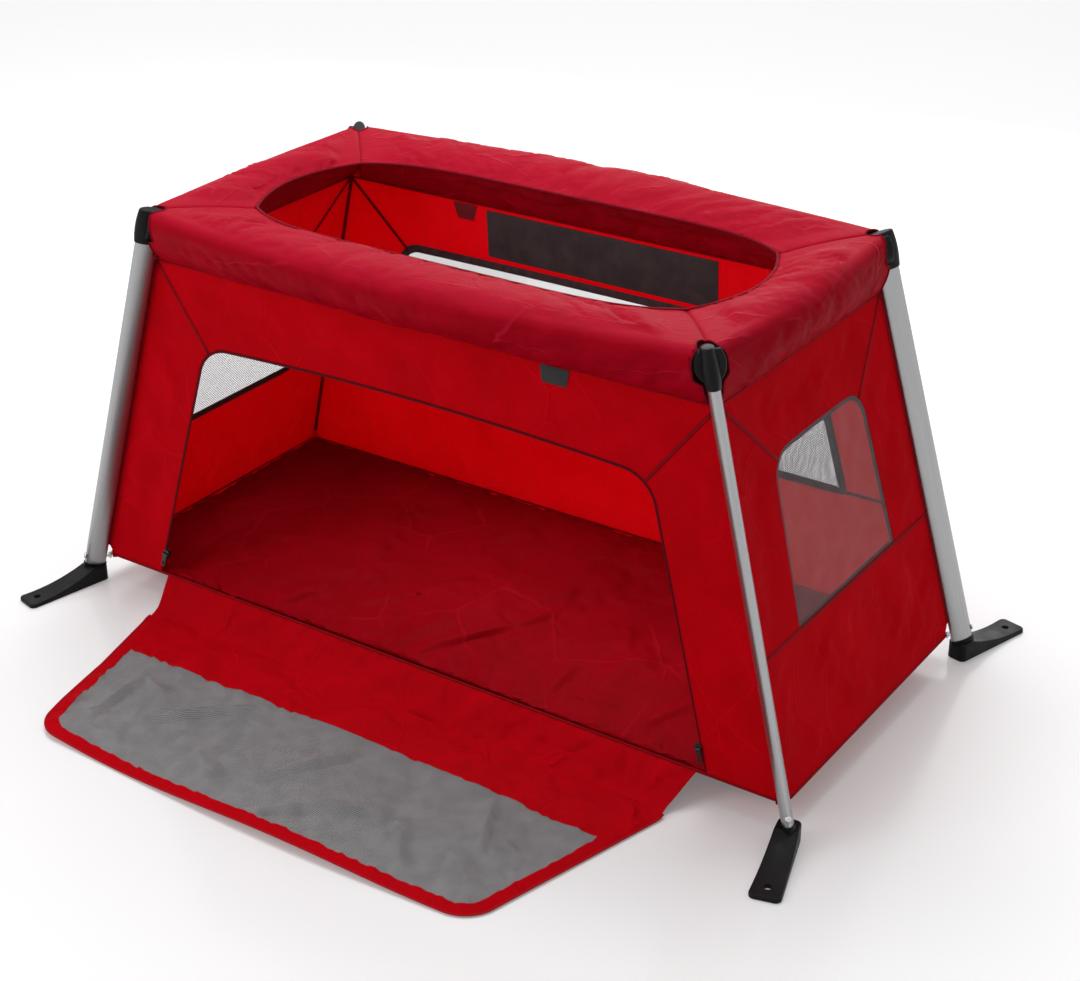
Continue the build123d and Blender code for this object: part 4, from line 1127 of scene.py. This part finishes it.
nearest = [int(np.argmin(np.linalg.norm(flat - point, axis=1))) for point in door_outline]
edge_path = points[[k for k in nearest if flat[k, 1] > DROP_LENGTH + TAPE_PAST]]
ahead = np.gradient(edge_path, axis=0)
sideways = np.abs(ahead[:, 1:2]) / np.linalg.norm(ahead[:, :2], axis=1, keepdims=True)
beside = DOOR_TAPE * sideways * np.sign(edge_path[:, :1]) * (1, 0, 0)
lies = edge_path + beside / 2 + (0, 0, TAPE_UP)
door_tape = tape("door_zip_tape", lies, (0, 0, 1), DOOR_TAPE_HALF, DOOR_TAPE_THICK, door_weave)
door_coil = coil("door_zip_coil", edge_path + beside + (0, 0, COIL_UP), door_nylon)
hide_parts("door_zip_track")
for edging in (door_tape, door_coil):
    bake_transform(edging)


# Floor sheet: red nylon, sewn to the hem all round. It hangs from there as a shallow tray, under the
# mattress.
TRAY_SOLE, TRAY_IN, TRAY_CORNER, TRAY_GAP, TRAY_STEP = 0.006, 0.045, 0.030, 0.001, 0.016


def rounded_box(half_x, half_y, radius, draw=0.0):
    """A rounded rectangle whose sides may draw in between the corners."""
    turns = np.linspace(0, math.pi / 2, 9)
    bend = np.column_stack([np.cos(turns), np.sin(turns)]) * radius + (half_x - radius, half_y - radius)
    quarter = np.vstack([bend, bend[::-1] * (-1, 1), bend * -1, bend[::-1] * (1, -1)])
    path = stepped(quarter, 0.02, True)
    pull = draw * np.column_stack([1 - (path[:, 1] / half_y) ** 2, 1 - (path[:, 0] / half_x) ** 2])
    return path - np.sign(path) * pull * (np.abs(path) > np.array((half_x, half_y)) - radius)


tray_edge = hem_round * (1 - TRAY_GAP / HEM_X, 1 - TRAY_GAP / HEM_Y)
tray_fold = rounded_box(HEM_X - TRAY_IN, HEM_Y - TRAY_IN, TRAY_CORNER)
flat, faces = cut_cloth(tray_edge, TRAY_STEP, [np.vstack([tray_fold, tray_fold[:1]])])
inward = np.minimum(from_path(flat, stepped(tray_edge, FINE_STEP, True)) / (TRAY_IN - TRAY_GAP), 1)
depth = HEM_Z - (HEM_Z - TRAY_SOLE - CLOTH / 2) * inward
upward = [face[::-1] for face in faces]
tray = new_piece("floor_tray", np.column_stack([flat, depth]), upward, flat, red_nylon, red_lit_inside)
held = border(faces, len(flat)) | (inward > 0.99)
find_folds(tray, held, spare=0.012, cap=0.004, frames=12, inward=0.0004)
thicken(tray, CLOTH)
fix_to_tub(tray, "red_cloth", "floor_sheet")


# Mattress: a foam pad in a dark red woven cover, laid on the floor sheet. It fills the tub to its walls.
# The cover is loose, so its top is crumpled; its sides pull in between the corners.
PAD_X, PAD_Y, PAD_CORNER, PAD_DRAW = 0.5515, 0.2315, 0.022, 0.004
PAD_LOW, PAD_SIDE_LOW, PAD_HIGH, PAD_CROWN, PAD_TAPER = 0.009, 0.034, 0.043, 0.006, 0.034
PAD_EDGE_Z, PAD_ROUND, PAD_SEAM, CROWN_EASE = 0.0395, 0.011, 0.0015, 0.06
PAD_STEP, PAD_RINGS = 0.0085, (0.0015, 0.004, 0.0075)
PAD_CREASES_MM = [
    (-10, -215, 67, -89), (67, -89, 98, -30), (192, -198, 190, -118), (215, -215, 228, -177),
    (228, -177, 303, -169), (-129, -90, -30, -73), (-410, -110, -337, -76), (-149, -160, -113, -106),
    (-113, -106, -56, -30), (-245, -210, -200, -140), (330, -205, 360, -120),
]
PAD_CREASES = np.reshape(PAD_CREASES_MM, (-1, 2, 2)) / 1000
PAD_CREASE_HIGH, PAD_SMALL_HIGH, PAD_SMALL, PAD_PUCKERS = 0.0045, 0.002, 30, 26
PAD_FRONT = (0.58, -0.81)
# The cover's ridge colour is a painted highlight along its wrinkles.
mattress_weave = cloth_finish(
    "mattress_weave", (0.37, 0.001, 0.008), (0.30, 0.001, 0.005), 11.0, 0.02, 0.42,
    ridge_highlight=(0.50, 0.010, 0.028),
)
pad_edge = rounded_box(PAD_X, PAD_Y, PAD_CORNER, PAD_DRAW)
rings = []
for inset in PAD_RINGS:
    ring = rounded_box(PAD_X - inset, PAD_Y - inset, PAD_CORNER - inset, PAD_DRAW)
    rings.append(np.vstack([ring, ring[:1]]))
pad_small = small_creases(PAD_SMALL, (-0.46, -0.17), (0.46, 0.18), (-1.2, 1.2), (0.03, 0.10))
pad_small += small_creases(PAD_PUCKERS, (-0.50, -0.205), (0.50, -0.196), (1.2, 2.0), (0.025, 0.05))
lines = [*rings, *PAD_CREASES, *crease_feet(PAD_CREASES, PAD_FRONT)]
flat, faces = cut_cloth(pad_edge, PAD_STEP, lines)
inward = from_path(flat, stepped(pad_edge, 0.002, True))
on_edge = border(faces, len(flat))
inward[on_edge] = 0
crown = PAD_CROWN * (1 - (flat[:, 1] / PAD_Y) ** 2) * (1 - (flat[:, 0] / PAD_X) ** 4)
roll = np.sqrt(1 - (1 - np.minimum(inward / PAD_ROUND, 1)) ** 2)
upper = PAD_EDGE_Z + (PAD_HIGH - PAD_EDGE_Z) * roll + crown * np.minimum(inward / CROWN_EASE, 1)
rise = creased(flat, PAD_CREASES, PAD_FRONT, PAD_CREASE_HIGH)
upper += rise + creased(flat, pad_small, PAD_FRONT, PAD_SMALL_HIGH)
lower = np.maximum(PAD_LOW, PAD_EDGE_Z - PAD_SEAM - inward * (PAD_SIDE_LOW - PAD_LOW) / PAD_TAPER)
top = new_piece("mattress_top", np.column_stack([flat, upper]), faces, flat)
find_folds(top, on_edge, spare=0.045, pressure=0.25, cap=0.009, stiff=0.05, frames=18, inward=0.003)
below = np.cumsum(~on_edge) - 1 + len(flat)
below[on_edge] = np.flatnonzero(on_edge)
points = np.vstack([coordinates(top.data), np.column_stack([flat, lower])[~on_edge]])
bpy.data.objects.remove(top)
pad_faces = faces + [tuple(int(below[k]) for k in face[::-1]) for face in faces]
mattress = new_piece("mattress", points, pad_faces, np.vstack([flat, flat[~on_edge]]), mattress_weave)
fix_to_tub(mattress, "mattress_cloth", "mattress_cover", "mattress_foam")


# Sewn-on pieces: a small plain tag outside the front header, a tab and a large dark patch inside the rear
# one. All are plain woven cloth with turned edges, stitched down all round.
PATCH_THICK, PATCH_GAP, PATCH_STITCH, PATCH_STEP = 0.0008, 0.0002, 0.003, 0.007
PATCH_SWELL, PATCH_EASE, PATCH_WAVES = 0.0012, 0.02, 90


def patch_finish(name, light, dark, half_wide, half_high):
    """Plain woven patch on coordinates from its middle, with one row of stitches just inside its edge."""
    made, start = new_material(name)
    flat = start.source("UVMap")
    u, v, _ = flat.parts()
    weave = flat.weave(0.0008)
    beside = u.math("ABSOLUTE") - (half_wide - PATCH_STITCH)
    side = beside.math("MAXIMUM", v.math("ABSOLUTE") - (half_high - PATCH_STITCH))
    line = 1 - side.math("ABSOLUTE").between(0.0002, 0.0007)
    stitch = line * ((u + v) * (1 / STITCH_LENGTH)).math("FRACT").between(0.2, 0.36)
    shade = flat.noise(30.0, 4.0, 0.5)
    start.surface({
        "Base Color": (shade + 0.3 * stitch).between(0.3, 0.8).tint(dark, light),
        "Roughness": 0.55 + 0.15 * shade,
        "Specular IOR Level": 0.3,
        "Normal": (weave * 0.2 + stitch).bump(0.00025, 0.6),
    })
    return made


SEWN_ON = {
    "front_tag": ("front", TAG, 1, (0.030, 0.029, 0.030), (0.016, 0.015, 0.016), 0.004, "dark_binding"),
    "inner_tab": ("rear", TAB, -1, (0.22, 0.003, 0.008), (0.15, 0.002, 0.006), 0.007, "rim_cloth"),
    "inner_patch": ("rear", PATCH, -1, (0.060, 0.046, 0.048), (0.032, 0.024, 0.026), 0.0, "patch_cloth"),
}
for name, (wall, spans, side, light, dark, taper, finish) in SEWN_ON.items():
    zone = np.array(sewn_zone(wall, spans))
    zone[:2, 0] += (taper, -taper)
    middle, half = zone.mean(0), np.ptp(zone, axis=0) / 2
    flat, faces = cut_cloth(zone, PATCH_STEP)
    from_edge = np.min(half - np.abs(flat - middle), axis=1)
    rise = PATCH_SWELL * np.sin(np.minimum(from_edge / PATCH_EASE, 1) * math.pi / 2)
    rise *= 1 + 0.4 * np.sin(flat[:, 0] * PATCH_WAVES)
    out = side * ((CLOTH + PATCH_THICK) / 2 + PATCH_GAP + rise)
    woven = patch_finish(f"{name}_cloth", light, dark, *half)
    piece = new_piece(f"sewn_{name}", on_wall(wall, flat, out), faces, flat - middle, woven)
    thicken(piece, PATCH_THICK)
    fix_to_tub(piece, finish, name)


# Corner rings: a bright steel wire ring on a stitched tab at each corner of the hem, slipped over the
# prong of the leg hook.
HOOK_HEIGHT, HOOK_REACH, RING_HEIGHT, RING_RADIUS, RING_WIRE = 0.011, 0.0208, 0.0038, 0.0035, 0.0009
TAB_FROM, TAB_TO, TAB_HALF, TAB_THICK = 0.0024, 0.0085, 0.008, 0.0022
ring_centre = LEG_FOOT + leg_up * (HOOK_HEIGHT + RING_HEIGHT) - leg_out * HOOK_REACH
ring_path = []
for turn in np.linspace(0, 2 * math.pi, 24, endpoint=False):
    ring_path.append(ring_centre + RING_RADIUS * (leg_out * math.cos(turn) + leg_side * math.sin(turn)))
tab_path = [ring_centre - leg_out * reach for reach in np.linspace(TAB_FROM, TAB_TO, 5)]
for corner, signs in CORNERS.items():
    way = np.array((*signs, 1))
    wire = tube(f"corner_ring_{corner}", np.array(ring_path) * way, RING_WIRE, plated, closed=True)
    lies, face = np.array(tab_path) * way, np.array(leg_up) * way
    tab = tape(f"corner_tab_{corner}", lies, face, TAB_HALF, TAB_THICK, seam_tape)
    fix_to_tub(wire, "steel", "corner_rings")
    fix_to_tub(tab, "red_cloth")


# Stage: a pale glossy studio floor that keeps the playpen's soft shadow, under a white surround, with
# soft lamps overhead, in front and behind.
FLOOR_HALF, FLOOR_Z = 12.0, -0.0008
FLOOR_GLOW, GLOW_REACH = (0.14, 0.39), (0.45, 1.35)


def looked_at(start):
    """1 for what the camera sees straight, in a reflection or through something, and 0 for lighting."""
    rays = start.source("LightPath").output.node.outputs
    kinds = ("Is Camera Ray", "Is Glossy Ray", "Is Transmission Ray")
    camera, glossy, through = (Socket(start.tree, rays[kind]) for kind in kinds)
    return camera.math("MAXIMUM", glossy).math("MAXIMUM", through)


pale, start = new_material("pale_floor")
place = start.source("TexCoord", "Object")
sweep = place.noise(0.9, 1.0)
distance = place.node("VectorMath", {"operation": "LENGTH"}, {0: place}, "Value")
brighter = (FLOOR_GLOW[1] - FLOOR_GLOW[0]) * distance.between(*GLOW_REACH)
glow = (FLOOR_GLOW[0] + brighter) * looked_at(start)
start.surface({
    "Base Color": sweep.tint((0.80, 0.80, 0.81), (0.84, 0.84, 0.845)),
    "Roughness": 0.16,
    "Specular IOR Level": 0.35,
    "Emission Color": glow.joined(glow, glow, glow),
    "Emission Strength": 1.0,
})
corners = [(x * FLOOR_HALF, y * FLOOR_HALF, 0) for x, y in ((-1, -1), (1, -1), (1, 1), (-1, 1))]
floor = new_piece("studio_floor", corners, [(0, 1, 2, 3)], None, pale)
floor.location.z = FLOOR_Z

world = bpy.data.worlds.new("studio")
bpy.context.scene.world = world
world.use_nodes = True
surround = Socket(world.node_tree)
background = world.node_tree.nodes["Background"]
surround.fill(background, {"Color": (1, 1, 1, 1), "Strength": 0.38 + 0.62 * looked_at(surround)})


def soft_lamp(name, place, target, size, power):
    lamp = bpy.data.lights.new(name, "AREA")
    lamp.shape = "RECTANGLE"
    lamp.size, lamp.size_y = size
    lamp.energy = power
    holder = bpy.data.objects.new(name, lamp)
    bpy.context.scene.collection.objects.link(holder)
    holder.location = place
    holder.rotation_euler = (Vector(target) - Vector(place)).to_track_quat("-Z", "Y").to_euler()


soft_lamp("overhead_softbox", (-0.5, 0.4, 2.85), (0, 0, 0.3), (2.0, 1.6), 47)
soft_lamp("front_softbox", (-1.6, -2.6, 1.9), (0, -0.1, 0.25), (1.6, 1.6), 24)
soft_lamp("rear_softbox", (-0.4, 2.3, 1.0), (0, 0.22, 0.4), (2.2, 1.4), 14)


# Camera: at the photograph's place, level with a faint roll, framed by its principal point. Its place
# and turn were fitted to the feet, the hubs and the outline on the floor.
PHOTO_WIDE, PHOTO_HIGH = 1080, 981
CAMERA_PLACE = Vector((1.4237, -2.0446, 1.4723))
AZIMUTH, ELEVATION, ROLL = math.radians(35.47), math.radians(26.8), math.radians(-0.82)
FOCAL_PX = 2033.28
PRINCIPAL = (491.02, 480.79)
camera = bpy.data.objects.new("photo_camera", bpy.data.cameras.new("photo_camera"))
bpy.context.scene.collection.objects.link(camera)
flat_back = math.cos(ELEVATION)
back = Vector((math.sin(AZIMUTH) * flat_back, -math.cos(AZIMUTH) * flat_back, math.sin(ELEVATION)))
level = Vector((math.cos(AZIMUTH), math.sin(AZIMUTH), 0))
above = back.cross(level)
right = math.cos(ROLL) * level + math.sin(ROLL) * above
up = back.cross(right)
turned = np.eye(4)
turned[:3, :3] = np.column_stack([right, up, back])
turned[:3, 3] = CAMERA_PLACE
camera.matrix_world = Matrix(turned.tolist())
camera.data.sensor_width = 36.0
camera.data.lens = FOCAL_PX / PHOTO_WIDE * camera.data.sensor_width
camera.data.shift_x = (PHOTO_WIDE / 2 - PRINCIPAL[0]) / PHOTO_WIDE
camera.data.shift_y = (PRINCIPAL[1] - PHOTO_HIGH / 2) / PHOTO_WIDE
bpy.context.scene.camera = camera
bpy.context.scene.view_settings.view_transform = "Standard"
